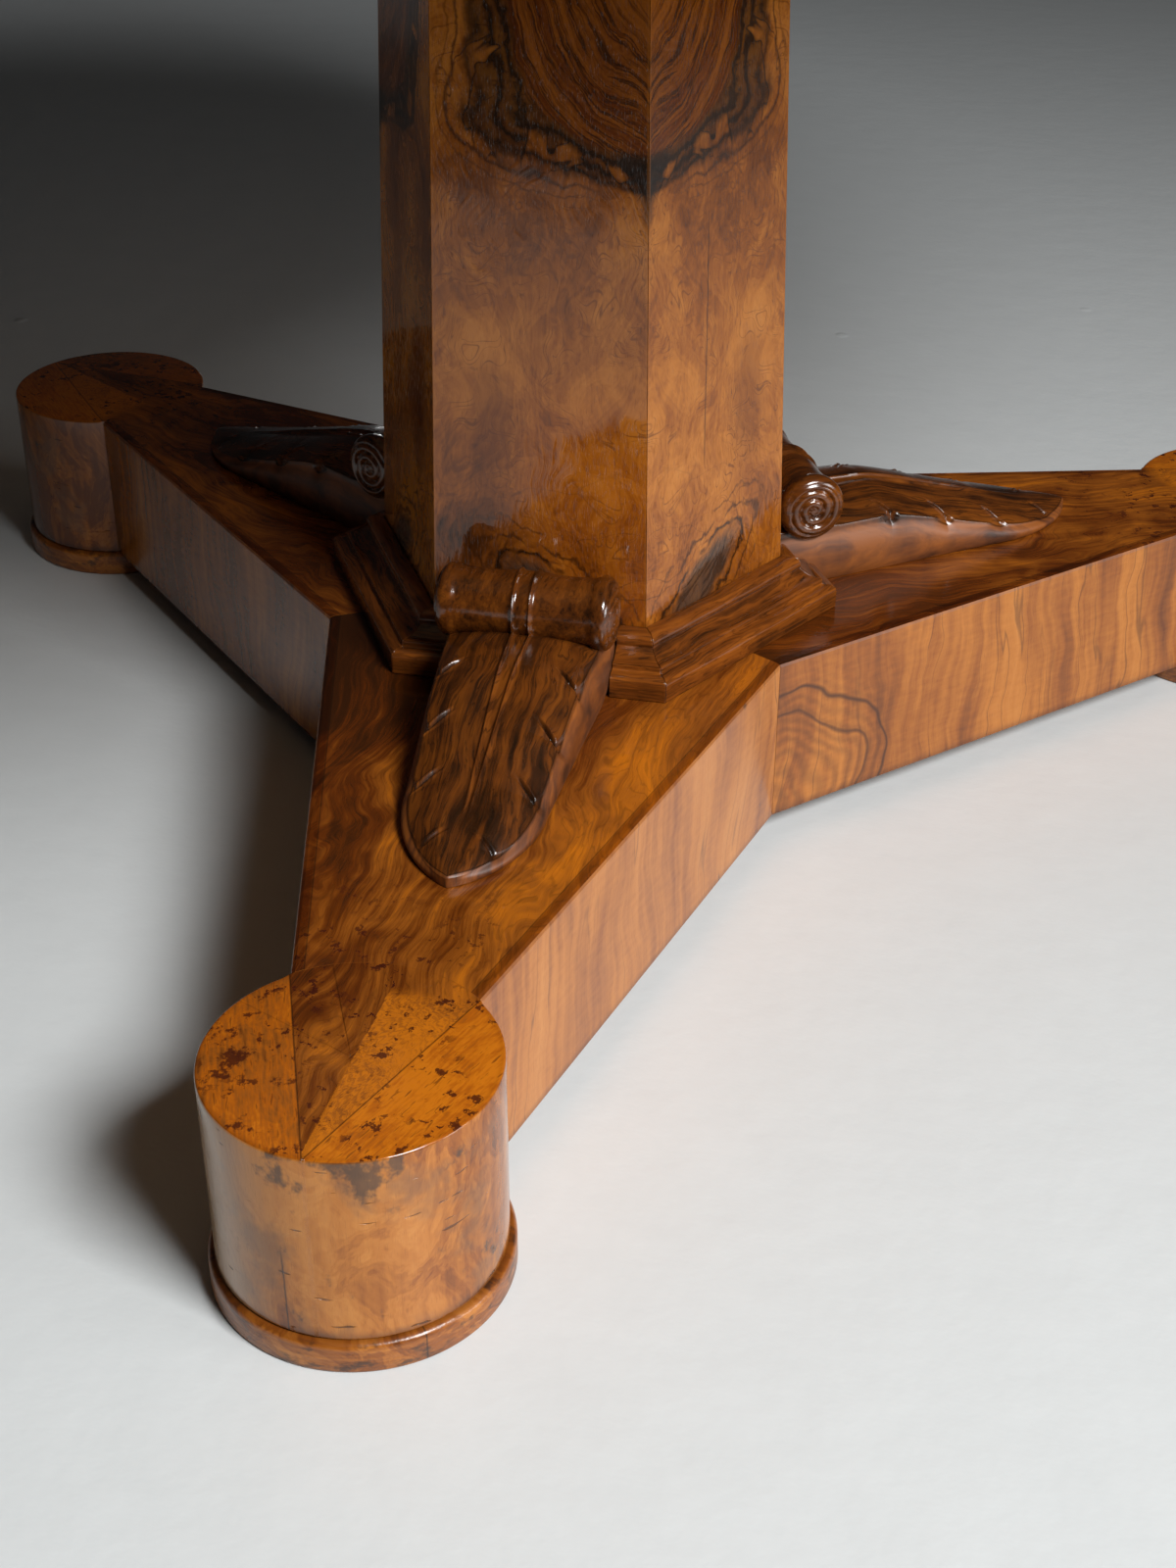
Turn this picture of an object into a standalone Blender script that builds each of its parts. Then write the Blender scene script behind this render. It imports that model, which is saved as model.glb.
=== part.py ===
"""A centre table: a round tilting top on a tapered hexagonal column, which stands on a three-armed platform with drum feet.

Metres, +Z up. The origin lies on the floor under the column's axis, and the front arm points along -Y.
Each arm has its own frame: u runs outwards along the arm, v runs across it, and z runs up.
"""

import math

import bmesh
import bpy
from mathutils import Matrix, Vector

# General
FIT_GAP = 0.0003
ROUND_STEPS = 48
SMALL_ROUND_STEPS = 24
SMOOTH_ANGLE = math.radians(35)

# Directions of the arms, and of the column's faces between two arms
ARM_ANGLES = {"front": -90, "right": 30, "left": 150}
BETWEEN_ANGLES = {"front_right": -30, "back": 90, "front_left": 210}
HALF_FACE_ANGLE = math.radians(30)
HALF_ARM_ANGLE = math.radians(60)

# Feet
FOOT_DISTANCE = 0.413
PAD_RADIUS = 0.063
PAD_HEIGHT = 0.015
PAD_TOP_ROUND = 0.003
PAD_FLOOR_ROUND = 0.0015
DRUM_RADIUS = 0.060
DRUM_EDGE = 0.0015
FOOT_DOWEL_RADIUS = 0.011
FOOT_DOWEL_IN_DRUM = 0.040
FOOT_DOWEL_IN_ARM = 0.050

# Platform
PLATFORM_HEIGHT = 0.106
ARM_HALF_WIDTH = 0.040
INNER_CORNER_RADIUS = 0.138
ARM_EDGE = 0.002
HUB_PLATE_RADIUS = 0.072
HUB_PLATE_THICKNESS = 0.005
HUB_SCREW_RADIUS = 0.044
HUB_SCREW_LENGTH = 0.045

# Column, whose radii are to the corners of the hexagon
COLUMN_FOOT_RADIUS = 0.1095
COLUMN_TOP_RADIUS = 0.0902
STAVE_THICKNESS = 0.022
PLUG_HEIGHT = 0.070
CAP_HEIGHT = 0.030
CAP_LIP = 0.009
CAP_OVERHANG = 0.026
CAP_COVE_STEPS = 6

# Moulding round the foot of the column
MOULDING_DEPTH = 0.026
MOULDING_HEIGHT = 0.027
MOULDING_TOP_FLAT = 0.004
MOULDING_TOP_ROUND = 0.0045
MOULDING_STEP_DEPTH = 0.0065
MOULDING_STEP_HEIGHT = 0.0125
MOULDING_STEP_RISE = 0.0035
MOULDING_LOW_ROUND = 0.0035
MOULDING_ARC_STEPS = 4

# Carved leaves
LEAF_HALF_WIDTH = 0.0395
LEAF_TIP_DISTANCE = 0.296
LEAF_ROUND_LENGTH = 0.061
LEAF_ROUND_HALF_WIDTH = 0.032
LEAF_TIP_POINT = 0.75
LEAF_RIM_HEIGHT = 0.031
LEAF_TIP_HEIGHT = 0.005
LEAF_CROWN_RISE = 0.007
LEAF_CROWN_RUN = 0.020
LEAF_RIM_INSET = 0.0020
LEAF_BELLY = 0.0015
LEAF_NOTCHES = 4
LEAF_NOTCH_DEPTH = 0.0025
LEAF_NOTCH_REACH = 0.004
LEAF_NOTCH_SPACING = 0.0358
LEAF_TIP_LOBE = 0.0206
LEAF_SWING = math.radians(2)
LEAF_SECTIONS = 24
SCROLL_RADIUS = 0.0182
SCROLL_WAIST = 0.0010
SCROLL_HALF_LENGTH = 0.0425
SCROLL_STANDOFF = 0.0041
SCROLL_SINK = 0.0049
SCROLL_BEAD = 0.0045
SCROLL_STEPS = 28

# Tilting head
TABLE_HEIGHT = 0.760
TOP_RADIUS = 0.600
TOP_THICKNESS = 0.024
TOP_EDGE_ROUND = 0.006
TOP_STEPS = 96
APRON_INSET = 0.025
APRON_THICKNESS = 0.022
APRON_SEGMENTS = 6
APRON_SEGMENT_STEPS = 10
BLOCK_HEIGHT = 0.048
BLOCK_HALF_WIDTH = 0.120
PIVOT_DISTANCE = 0.130
PIVOT_CLEARANCE = 0.0003
PIN_RADIUS = 0.007
PIN_IN_BLOCK = 0.050
BEARER_THICKNESS = 0.030
BEARER_END_GAP = 0.032
BEARER_END_CHAMFER = 0.020
BEARER_SIDE_GAP = 0.0006
BEARER_SCREW_FROM_END = 0.170
BEARER_SCREW_BITE = 0.014

# Iron tie rod through the column, with a square nut at each end
ROD_RADIUS = 0.008
NUT_SIDE = 0.026
NUT_HEIGHT = 0.0072
NUT_RECESS_RADIUS = 0.024
NUT_RECESS_DEPTH = 0.020

# Sliding catch that locks the top down
CATCH_WIDTH = 0.020
CATCH_HEIGHT = 0.010
CATCH_WALL = 0.003
CATCH_SLOT = 0.009
CATCH_CASE_LENGTH = 0.060
CATCH_CASE_DISTANCE = 0.030
CATCH_TRAVEL = 0.018
CATCH_TIP_GAP = 0.003
CATCH_CLEARANCE = 0.0004
CATCH_KNOB_RADIUS = 0.007
CATCH_STEM_RADIUS = 0.003
CATCH_STEM_LENGTH = 0.009
STRIKE_WIDTH = 0.052
STRIKE_HEIGHT = 0.024
STRIKE_INSET = 0.001
STRIKE_THICKNESS = 0.002

# Countersunk wood screws
SCREW_RADIUS = 0.0028
SCREW_HEAD_RADIUS = 0.0056
SCREW_HEAD_HEIGHT = 0.0032

# Places that follow from the sizes above
ARM_UNDERSIDE = PAD_HEIGHT
COLUMN_FOOT = PLATFORM_HEIGHT + FIT_GAP
TOP_UNDERSIDE = TABLE_HEIGHT - TOP_THICKNESS
BLOCK_TOP = TOP_UNDERSIDE - FIT_GAP
BLOCK_FOOT = BLOCK_TOP - BLOCK_HEIGHT
COLUMN_TOP = BLOCK_FOOT - 2 * FIT_GAP - CAP_HEIGHT
PIVOT_HEIGHT = BLOCK_FOOT + BLOCK_HEIGHT / 2
APRON_INNER_RADIUS = TOP_RADIUS - APRON_INSET - APRON_THICKNESS
BEARER_INNER_SIDE = BLOCK_HALF_WIDTH + BEARER_SIDE_GAP
BEARER_OUTER_SIDE = BEARER_INNER_SIDE + BEARER_THICKNESS
BEARER_HALF_LENGTH = math.sqrt(APRON_INNER_RADIUS ** 2 - BEARER_OUTER_SIDE ** 2) - BEARER_END_GAP
HUB_PLATE_TOP = ARM_UNDERSIDE - FIT_GAP
HUB_PLATE_FOOT = HUB_PLATE_TOP - HUB_PLATE_THICKNESS
ROD_FOOT = HUB_PLATE_FOOT - FIT_GAP - NUT_HEIGHT
NUT_SEAT = BLOCK_TOP - NUT_RECESS_DEPTH
ROD_TOP = NUT_SEAT + FIT_GAP + NUT_HEIGHT
COLUMN_TAPER = (COLUMN_FOOT_RADIUS - COLUMN_TOP_RADIUS) / (COLUMN_TOP - PLATFORM_HEIGHT)
COLUMN_FOOT_APOTHEM = COLUMN_FOOT_RADIUS * math.cos(HALF_FACE_ANGLE)
SCROLL_DISTANCE = COLUMN_FOOT_APOTHEM + SCROLL_STANDOFF + SCROLL_RADIUS
SCROLL_HEIGHT = PLATFORM_HEIGHT + LEAF_RIM_HEIGHT + SCROLL_RADIUS - SCROLL_SINK


def column_radius(z):
    """Corner radius of the tapered column at a height."""
    return COLUMN_FOOT_RADIUS - COLUMN_TAPER * (z - PLATFORM_HEIGHT)


def column_apothem(z):
    """Distance from the axis to a face of the column at a height."""
    return column_radius(z) * math.cos(HALF_FACE_ANGLE)


def smoothstep(low, high, x):
    """0 below low, 1 above high, and a smooth climb between them."""
    t = min(1.0, max(0.0, (x - low) / (high - low)))
    return t * t * (3 - 2 * t)


def arc(centre, radius, start, end, steps):
    """Points of a circular arc in a plane, from start to end in degrees, both included."""
    angles = [math.radians(start + (end - start) * i / steps) for i in range(steps + 1)]
    return [(centre[0] + radius * math.cos(a), centre[1] + radius * math.sin(a)) for a in angles]


# Materials

def material(name, colour, roughness, metallic=0.0):
    made = bpy.data.materials.new(name)
    made.use_nodes = True
    shader = made.node_tree.nodes["Principled BSDF"]
    shader.inputs["Base Color"].default_value = (*colour, 1.0)
    shader.inputs["Roughness"].default_value = roughness
    shader.inputs["Metallic"].default_value = metallic
    return made


def make_materials():
    return {
        "veneer": material("walnut_veneer", (0.36, 0.15, 0.045), 0.28),
        "carved": material("carved_walnut", (0.16, 0.065, 0.022), 0.25),
        "carcase": material("carcase_pine", (0.55, 0.36, 0.18), 0.7),
        "iron": material("forged_iron", (0.07, 0.065, 0.06), 0.55, 0.9),
        "brass": material("old_brass", (0.62, 0.45, 0.18), 0.35, 1.0),
    }


# Building blocks

def clear_scene():
    for obj in list(bpy.data.objects):
        bpy.data.objects.remove(obj)


def empty(name, location, parent=None):
    made = bpy.data.objects.new(name, None)
    bpy.context.scene.collection.objects.link(made)
    made.parent = parent
    made.location = Vector(location) - (parent.matrix_world.translation if parent else Vector())
    bpy.context.view_layer.update()
    return made


def place(name, bm, surface, angle=0.0, parent=None, smooth=False):
    """Turns a bmesh into an object, turned about the column's axis and carried by an optional empty."""
    bmesh.ops.recalc_face_normals(bm, faces=bm.faces)
    mesh = bpy.data.meshes.new(name)
    bm.to_mesh(mesh)
    bm.free()
    if smooth:
        mesh.shade_smooth()
        mesh.set_sharp_from_angle(angle=SMOOTH_ANGLE)
    made = bpy.data.objects.new(name, mesh)
    bpy.context.scene.collection.objects.link(made)
    made.rotation_euler.z = math.radians(angle)
    if surface:
        mesh.materials.append(surface)
    if parent:
        made.parent = parent
        made.matrix_parent_inverse = parent.matrix_world.inverted()
    return made


def cutter(name, bm, angle=0.0):
    """A helper shape for Booleans, which is no piece of the table."""
    made = place(name, bm, None, angle)
    made.hide_render = True
    made.display_type = "WIRE"
    return made


def boolean(obj, other, operation):
    modifier = obj.modifiers.new(f"{operation.lower()}_{other.name}", "BOOLEAN")
    modifier.operation = operation
    modifier.object = other
    modifier.solver = "EXACT"


def cut(tool, *objects):
    for obj in objects:
        boolean(obj, tool, "DIFFERENCE")


def prism(outline, low, high, axis="Z"):
    """An outline pushed from low to high along an axis. The outline's two numbers are the other axes in XYZ order."""
    def point(a, b, c):
        return {"X": (c, a, b), "Y": (a, c, b), "Z": (a, b, c)}[axis]

    bm = bmesh.new()
    rings = [[bm.verts.new(point(a, b, c)) for a, b in outline] for c in (low, high)]
    close_rings(bm, rings)
    return bm


def close_rings(bm, rings):
    """Bridges closed rings of points one after the other, and caps both ends."""
    count = len(rings[0])
    for first, second in zip(rings, rings[1:]):
        for i in range(count):
            j = (i + 1) % count
            bm.faces.new((first[i], first[j], second[j], second[i]))
    bm.faces.new(rings[0])
    bm.faces.new(rings[-1])


def box(low, high):
    outline = [(low[0], low[1]), (high[0], low[1]), (high[0], high[1]), (low[0], high[1])]
    return prism(outline, low[2], high[2])


def lathe(profile, steps=ROUND_STEPS, matrix=Matrix.Identity(4)):
    """A solid turned about local Z from (radius, height) points, from its foot to its top, capped flat at both ends."""
    bm = bmesh.new()
    rings = []
    for radius, height in profile:
        angles = [2 * math.pi * i / steps for i in range(steps)]
        rings.append([bm.verts.new((radius * math.cos(a), radius * math.sin(a), height)) for a in angles])
    close_rings(bm, rings)
    bmesh.ops.transform(bm, matrix=matrix, verts=bm.verts)
    return bm


def along(direction, origin):
    """Matrix that stands local Z along a direction, at an origin."""
    turn = Vector((0, 0, 1)).rotation_difference(Vector(direction)).to_matrix().to_4x4()
    return Matrix.Translation(origin) @ turn


def rod(radius, start, end, steps=SMALL_ROUND_STEPS):
    """A plain cylinder between two points."""
    start, end = Vector(start), Vector(end)
    profile = [(radius, 0.0), (radius, (end - start).length)]
    return lathe(profile, steps, along(end - start, start))


def screw(name, head, direction, length, surface, angle=0.0, parent=None):
    """A countersunk wood screw from the middle of its head inwards, and the cutter for its hole."""
    def profile(extra):
        shank, wide = SCREW_RADIUS + extra, SCREW_HEAD_RADIUS + extra
        return [(wide, -extra), (wide, 0.0004), (shank, SCREW_HEAD_HEIGHT), (shank, length + extra)]

    matrix = along(direction, Vector(head))
    made = place(name, lathe(profile(0.0), SMALL_ROUND_STEPS // 2, matrix), surface, angle, parent, smooth=True)
    hole = cutter(name + "_hole", lathe(profile(FIT_GAP), SMALL_ROUND_STEPS // 2, matrix), angle)
    return made, hole


# Platform and feet

def arm_outline():
    """Plan of one arm: mitred at the axis, widest at the inner corners, and hollowed at its end to fit the drum."""
    mitre_shift = FIT_GAP / 2 / math.sin(HALF_ARM_ANGLE)
    corner_u = INNER_CORNER_RADIUS * math.cos(HALF_ARM_ANGLE) + mitre_shift
    corner_v = INNER_CORNER_RADIUS * math.sin(HALF_ARM_ANGLE)
    hollow = DRUM_RADIUS + FIT_GAP
    half = math.degrees(math.asin(ARM_HALF_WIDTH / hollow))
    end = arc((FOOT_DISTANCE, 0.0), hollow, 180 + half, 180 - half, 16)
    return [(mitre_shift, 0.0), (corner_u, -corner_v), *end, (corner_u, corner_v)]


def soften_arm_edges(bm):
    """Rounds the two long upper edges of an arm, from the inner corner to the drum."""
    edges = []
    for edge in bm.edges:
        a, b = (v.co for v in edge.verts)
        on_top = min(a.z, b.z) > PLATFORM_HEIGHT - FIT_GAP
        on_side = a.y * b.y > 0 and min(abs(a.y), abs(b.y)) > ARM_HALF_WIDTH - FIT_GAP
        if on_top and on_side and abs(a.x - b.x) > FOOT_DISTANCE / 4:
            edges.append(edge)
    bmesh.ops.bevel(bm, geom=edges, offset=ARM_EDGE, segments=2, profile=0.5, affect="EDGES")


def make_feet_and_arms(surfaces):
    pad_rounds = arc((PAD_RADIUS - PAD_FLOOR_ROUND, PAD_FLOOR_ROUND), PAD_FLOOR_ROUND, -90, 0, 2)
    pad_top = PAD_HEIGHT - FIT_GAP
    pad_rounds += arc((PAD_RADIUS - PAD_TOP_ROUND, pad_top - PAD_TOP_ROUND), PAD_TOP_ROUND, 0, 90, 4)
    drum = [(DRUM_RADIUS, PAD_HEIGHT), (DRUM_RADIUS, PLATFORM_HEIGHT - DRUM_EDGE)]
    drum += [(DRUM_RADIUS - 0.3 * DRUM_EDGE, PLATFORM_HEIGHT - 0.3 * DRUM_EDGE)]
    drum += [(DRUM_RADIUS - DRUM_EDGE, PLATFORM_HEIGHT)]
    foot = Matrix.Translation((FOOT_DISTANCE, 0, 0))
    dowel_z = (ARM_UNDERSIDE + PLATFORM_HEIGHT) / 2
    drum_face = FOOT_DISTANCE - DRUM_RADIUS
    dowel_ends = drum_face - FOOT_DOWEL_IN_ARM, drum_face + FOOT_DOWEL_IN_DRUM
    arms = []
    for name, angle in ARM_ANGLES.items():
        place(f"foot_pad_{name}", lathe(pad_rounds, matrix=foot), surfaces["veneer"], angle, smooth=True)
        drum_foot = place(f"foot_drum_{name}", lathe(drum, matrix=foot), surfaces["veneer"], angle, smooth=True)
        bm = prism(arm_outline(), ARM_UNDERSIDE, PLATFORM_HEIGHT)
        soften_arm_edges(bm)
        arm = place(f"platform_arm_{name}", bm, surfaces["veneer"], angle)
        low, high = ((u, 0.0, dowel_z) for u in dowel_ends)
        place(f"foot_dowel_{name}", rod(FOOT_DOWEL_RADIUS, low, high), surfaces["carcase"], angle, smooth=True)
        reach = Vector((FIT_GAP, 0, 0))
        hole = rod(FOOT_DOWEL_RADIUS + FIT_GAP, Vector(low) - reach, Vector(high) + reach)
        cut(cutter(f"foot_dowel_{name}_hole", hole, angle), arm, drum_foot)
        arms.append(arm)
    return dict(zip(ARM_ANGLES, arms))


def make_hub(surfaces, arms):
    """Iron plate under the platform that ties the three arms together."""
    outline = arc((0.0, 0.0), HUB_PLATE_RADIUS, 0, 300, 5)
    plate = place("hub_plate", prism(outline, HUB_PLATE_FOOT, HUB_PLATE_TOP), surfaces["iron"])
    for name, angle in ARM_ANGLES.items():
        head = (HUB_SCREW_RADIUS, 0.0, HUB_PLATE_FOOT)
        _, hole = screw(f"hub_screw_{name}", head, (0, 0, 1), HUB_SCREW_LENGTH, surfaces["iron"], angle)
        cut(hole, plate, arms[name])
    return plate


# Column

def face_point(normal_distance, side, back_off=0.0):
    """Point in a face's frame on the mitre between two faces, on its left or right side, held back by half a joint."""
    reach = normal_distance * math.tan(HALF_FACE_ANGLE) - FIT_GAP / 2 / math.cos(HALF_FACE_ANGLE) - back_off
    return normal_distance, side * reach


def make_staves(surfaces):
    """Six mitred boards that make the hollow column."""
    names = {**ARM_ANGLES, **BETWEEN_ANGLES}
    for name, angle in names.items():
        bm = bmesh.new()
        rings = []
        for z in (COLUMN_FOOT, COLUMN_TOP):
            outer = column_apothem(z)
            inner = outer - STAVE_THICKNESS
            ring = [face_point(outer, -1), face_point(outer, 1), face_point(inner, 1), face_point(inner, -1)]
            rings.append([bm.verts.new((n, t, z)) for n, t in ring])
        close_rings(bm, rings)
        place(f"column_stave_{name}", bm, surfaces["veneer"], angle)


def make_plug(name, low, high, surface):
    """Hexagonal block that fills the hollow column for a short way."""
    bm = bmesh.new()
    rings = []
    for z in (low, high):
        radius = (column_apothem(z) - STAVE_THICKNESS - FIT_GAP) / math.cos(HALF_FACE_ANGLE)
        rings.append([bm.verts.new((x, y, z)) for x, y in arc((0.0, 0.0), radius, 0, 300, 5)])
    close_rings(bm, rings)
    return place(name, bm, surface)


def make_cap(surfaces):
    """Hexagonal capital that spreads from the column to the pivot block in a cove under a plain lip."""
    low, high = COLUMN_TOP + FIT_GAP, BLOCK_FOOT - FIT_GAP
    cove_height = CAP_HEIGHT - CAP_LIP
    base = column_radius(COLUMN_TOP)
    profile = []
    for i in range(CAP_COVE_STEPS + 1):
        a = math.pi / 2 * i / CAP_COVE_STEPS
        profile.append((base + CAP_OVERHANG * (1 - math.cos(a)), low + cove_height * math.sin(a)))
    profile.append((base + CAP_OVERHANG, high))
    bm = bmesh.new()
    rings = []
    for radius, z in profile:
        rings.append([bm.verts.new((x, y, z)) for x, y in arc((0.0, 0.0), radius, 0, 300, 5)])
    close_rings(bm, rings)
    return place("column_cap", bm, surfaces["veneer"])


def moulding_profile():
    """Section of the plinth moulding: (distance from the column's axis to the face, height), back first."""
    back = COLUMN_FOOT_APOTHEM + FIT_GAP
    front = COLUMN_FOOT_APOTHEM + MOULDING_DEPTH
    foot = PLATFORM_HEIGHT + FIT_GAP
    top = PLATFORM_HEIGHT + MOULDING_HEIGHT
    lean = COLUMN_TAPER * math.cos(HALF_FACE_ANGLE) * MOULDING_HEIGHT
    step_front = front - MOULDING_STEP_DEPTH
    step_top = PLATFORM_HEIGHT + MOULDING_STEP_HEIGHT + MOULDING_STEP_RISE
    low_round = arc((front - MOULDING_LOW_ROUND, PLATFORM_HEIGHT + MOULDING_STEP_HEIGHT - MOULDING_LOW_ROUND),
                    MOULDING_LOW_ROUND, 0, 90, MOULDING_ARC_STEPS)
    top_round = arc((back + MOULDING_TOP_FLAT, top - MOULDING_TOP_ROUND), MOULDING_TOP_ROUND, -25, 90, MOULDING_ARC_STEPS)
    return [(back, foot), (front, foot), *low_round, (step_front, PLATFORM_HEIGHT + MOULDING_STEP_HEIGHT),
            (step_front, step_top), *top_round, (back - lean, top)]


def make_mouldings(surfaces):
    """A long strip on each face between two arms, and a short mitred return on each side of each leaf."""
    profile = moulding_profile()

    def strip(name, angle, low_end, high_end):
        bm = bmesh.new()
        ends = ([bm.verts.new((n, end(n), z)) for n, z in profile] for end in (low_end, high_end))
        close_rings(bm, list(ends))
        place(name, bm, surfaces["carved"], angle, smooth=True)

    def corner(side):
        return lambda n: face_point(n, side)[1]

    leaf_side = LEAF_HALF_WIDTH + LEAF_BELLY + FIT_GAP
    for name, angle in BETWEEN_ANGLES.items():
        strip(f"plinth_moulding_{name}", angle, corner(-1), corner(1))
    for name, angle in ARM_ANGLES.items():
        strip(f"moulding_return_{name}_a", angle, lambda n: leaf_side, corner(1))
        strip(f"moulding_return_{name}_b", angle, lambda n: -leaf_side, corner(-1))


# Carved leaves

def leaf_half_width(u):
    """Half width of the leaf's foot: sides that draw in from the scroll, then a pointed round end."""
    first = SCROLL_DISTANCE + SCROLL_RADIUS
    start = LEAF_TIP_DISTANCE - LEAF_ROUND_LENGTH
    taper = min(1.0, max(0.0, (u - first) / (start - first)))
    s = min(1.0, max(0.0, (u - start) / LEAF_ROUND_LENGTH))
    width = LEAF_HALF_WIDTH + (LEAF_ROUND_HALF_WIDTH - LEAF_HALF_WIDTH) * taper
    return width * max(0.03, (1 - s ** 2)) ** LEAF_TIP_POINT


def leaf_notch_places():
    """Distances of the notches between the lobes of the rim, counted back from the tip."""
    return [LEAF_TIP_DISTANCE - LEAF_TIP_LOBE - LEAF_NOTCH_SPACING * k for k in range(LEAF_NOTCHES)]


def leaf_notch(u):
    """1 at a notch of the rim and 0 away from it."""
    return max(max(0.0, 1 - abs(u - place) / LEAF_NOTCH_REACH) for place in leaf_notch_places())


def leaf_rim(u):
    """Height of the leaf's rim above the platform: level beside the scroll, then falling to the tip."""
    start = SCROLL_DISTANCE + 2.5 * SCROLL_RADIUS
    s = min(1.0, max(0.0, (u - start) / (LEAF_TIP_DISTANCE - start)))
    return LEAF_TIP_HEIGHT + (LEAF_RIM_HEIGHT - LEAF_TIP_HEIGHT) * (0.5 + 0.5 * math.cos(math.pi * s ** 0.75))


def leaf_crown(u):
    """Rise of the leaf's middle over its rim: it starts under the scroll and fades at the tip."""
    start = SCROLL_DISTANCE
    rise = smoothstep(start, start + LEAF_CROWN_RUN, u)
    fade = math.sqrt(max(0.0, min(1.0, (LEAF_TIP_DISTANCE - u) / LEAF_ROUND_LENGTH)))
    return LEAF_CROWN_RISE * rise * fade


def leaf_middle(u):
    """Place across the arm of the leaf's midrib, which swings a little to one side past the scroll."""
    return math.tan(LEAF_SWING) * max(0.0, u - SCROLL_DISTANCE)


def leaf_section(u):
    """Closed section of the leaf across the arm at u, as (v, height above the platform)."""
    foot = leaf_half_width(u)
    rim = leaf_rim(u)
    inset = (LEAF_RIM_INSET + LEAF_NOTCH_DEPTH * leaf_notch(u)) * smoothstep(0.0, LEAF_HALF_WIDTH / 2, foot)
    edge = foot - inset
    belly = LEAF_BELLY * smoothstep(0.0, LEAF_HALF_WIDTH / 2, foot)
    crown = leaf_crown(u)
    side = [(foot, FIT_GAP), (foot + belly, 0.40 * rim), (foot, 0.80 * rim), (edge, rim)]
    for share in (0.75, 0.45, 0.15):
        side.append((share * edge, rim + crown * (1 - share ** 2)))
    middle = leaf_middle(u)
    return [(middle + v, z) for v, z in side] + [(middle - v, z) for v, z in reversed(side)]


def leaf_stations():
    """Distances of the leaf's sections: closer together towards the tip, and three at each notch."""
    start = COLUMN_FOOT_APOTHEM + FIT_GAP
    notches = leaf_notch_places()
    stations = [place + side * LEAF_NOTCH_REACH for place in notches for side in (-1, 0, 1)]
    for i in range(LEAF_SECTIONS):
        u = start + (LEAF_TIP_DISTANCE - start) * math.sin(math.pi / 2 * i / (LEAF_SECTIONS - 1))
        if all(abs(u - place) > 1.5 * LEAF_NOTCH_REACH for place in notches):
            stations.append(u)
    return sorted(stations)


def make_leaf_body():
    """Loft of the leaf's sections from the column to the tip."""
    bm = bmesh.new()
    rings = []
    for u in leaf_stations():
        rings.append([bm.verts.new((u, v, PLATFORM_HEIGHT + z)) for v, z in leaf_section(u)])
    close_rings(bm, rings)
    return bm


def scroll_profile():
    """(radius, position) along the rolled scroll: flared ends, a waist on each side and a bead in the middle."""
    waist = SCROLL_RADIUS - SCROLL_WAIST
    half = [(0.0, SCROLL_RADIUS), (SCROLL_BEAD * 0.7, SCROLL_RADIUS - 0.0004), (SCROLL_BEAD, SCROLL_RADIUS - 0.0014)]
    half += [(0.35 * SCROLL_HALF_LENGTH, waist + 0.0003), (0.6 * SCROLL_HALF_LENGTH, waist)]
    half += [(0.8 * SCROLL_HALF_LENGTH, SCROLL_RADIUS - 0.4 * SCROLL_WAIST), (0.94 * SCROLL_HALF_LENGTH, SCROLL_RADIUS)]
    half += [(SCROLL_HALF_LENGTH, SCROLL_RADIUS - 0.001)]
    right = [(radius, at) for at, radius in half]
    return [(radius, -at) for radius, at in reversed(right[1:])] + right


def make_leaves(surfaces):
    for name, angle in ARM_ANGLES.items():
        leaf = place(f"carved_leaf_{name}", make_leaf_body(), surfaces["carved"], angle, smooth=True)
        axis = along((0, 1, 0), (SCROLL_DISTANCE, 0, SCROLL_HEIGHT))
        scroll = cutter(f"carved_leaf_{name}_scroll", lathe(scroll_profile(), SCROLL_STEPS, axis), angle)
        boolean(leaf, scroll, "UNION")


# Tilting head

def make_block(surfaces):
    """Pivot block on the column, with its back edge rounded about the pivot so that the top can swing past it."""
    nose = arc((PIVOT_DISTANCE, PIVOT_HEIGHT), BLOCK_HEIGHT / 2, -90, 90, 16)
    outline = [(-PIVOT_DISTANCE, BLOCK_TOP), (-PIVOT_DISTANCE, BLOCK_FOOT), *nose]
    block = place("pivot_block", prism(outline, -BLOCK_HALF_WIDTH, BLOCK_HALF_WIDTH, "X"), surfaces["carcase"])
    recess = [(NUT_RECESS_RADIUS, NUT_SEAT), (NUT_RECESS_RADIUS, TABLE_HEIGHT)]
    cut(cutter("nut_recess", lathe(recess, SMALL_ROUND_STEPS)), block)
    return block


def make_tie_rod(surfaces, pieces):
    """Iron rod from under the hub plate to the block, with a square nut at each end."""
    place("tie_rod", rod(ROD_RADIUS, (0, 0, ROD_FOOT), (0, 0, ROD_TOP)), surfaces["iron"], smooth=True)
    hole = cutter("tie_rod_hole", rod(ROD_RADIUS + FIT_GAP, (0, 0, -PAD_HEIGHT), (0, 0, TABLE_HEIGHT)))
    half = NUT_SIDE / 2
    nuts = []
    for name, low in (("lower", ROD_FOOT), ("upper", NUT_SEAT + FIT_GAP)):
        bm = box((-half, -half, low), (half, half, low + NUT_HEIGHT))
        nuts.append(place(f"tie_rod_nut_{name}", bm, surfaces["iron"]))
    cut(hole, *pieces, *nuts)


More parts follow.
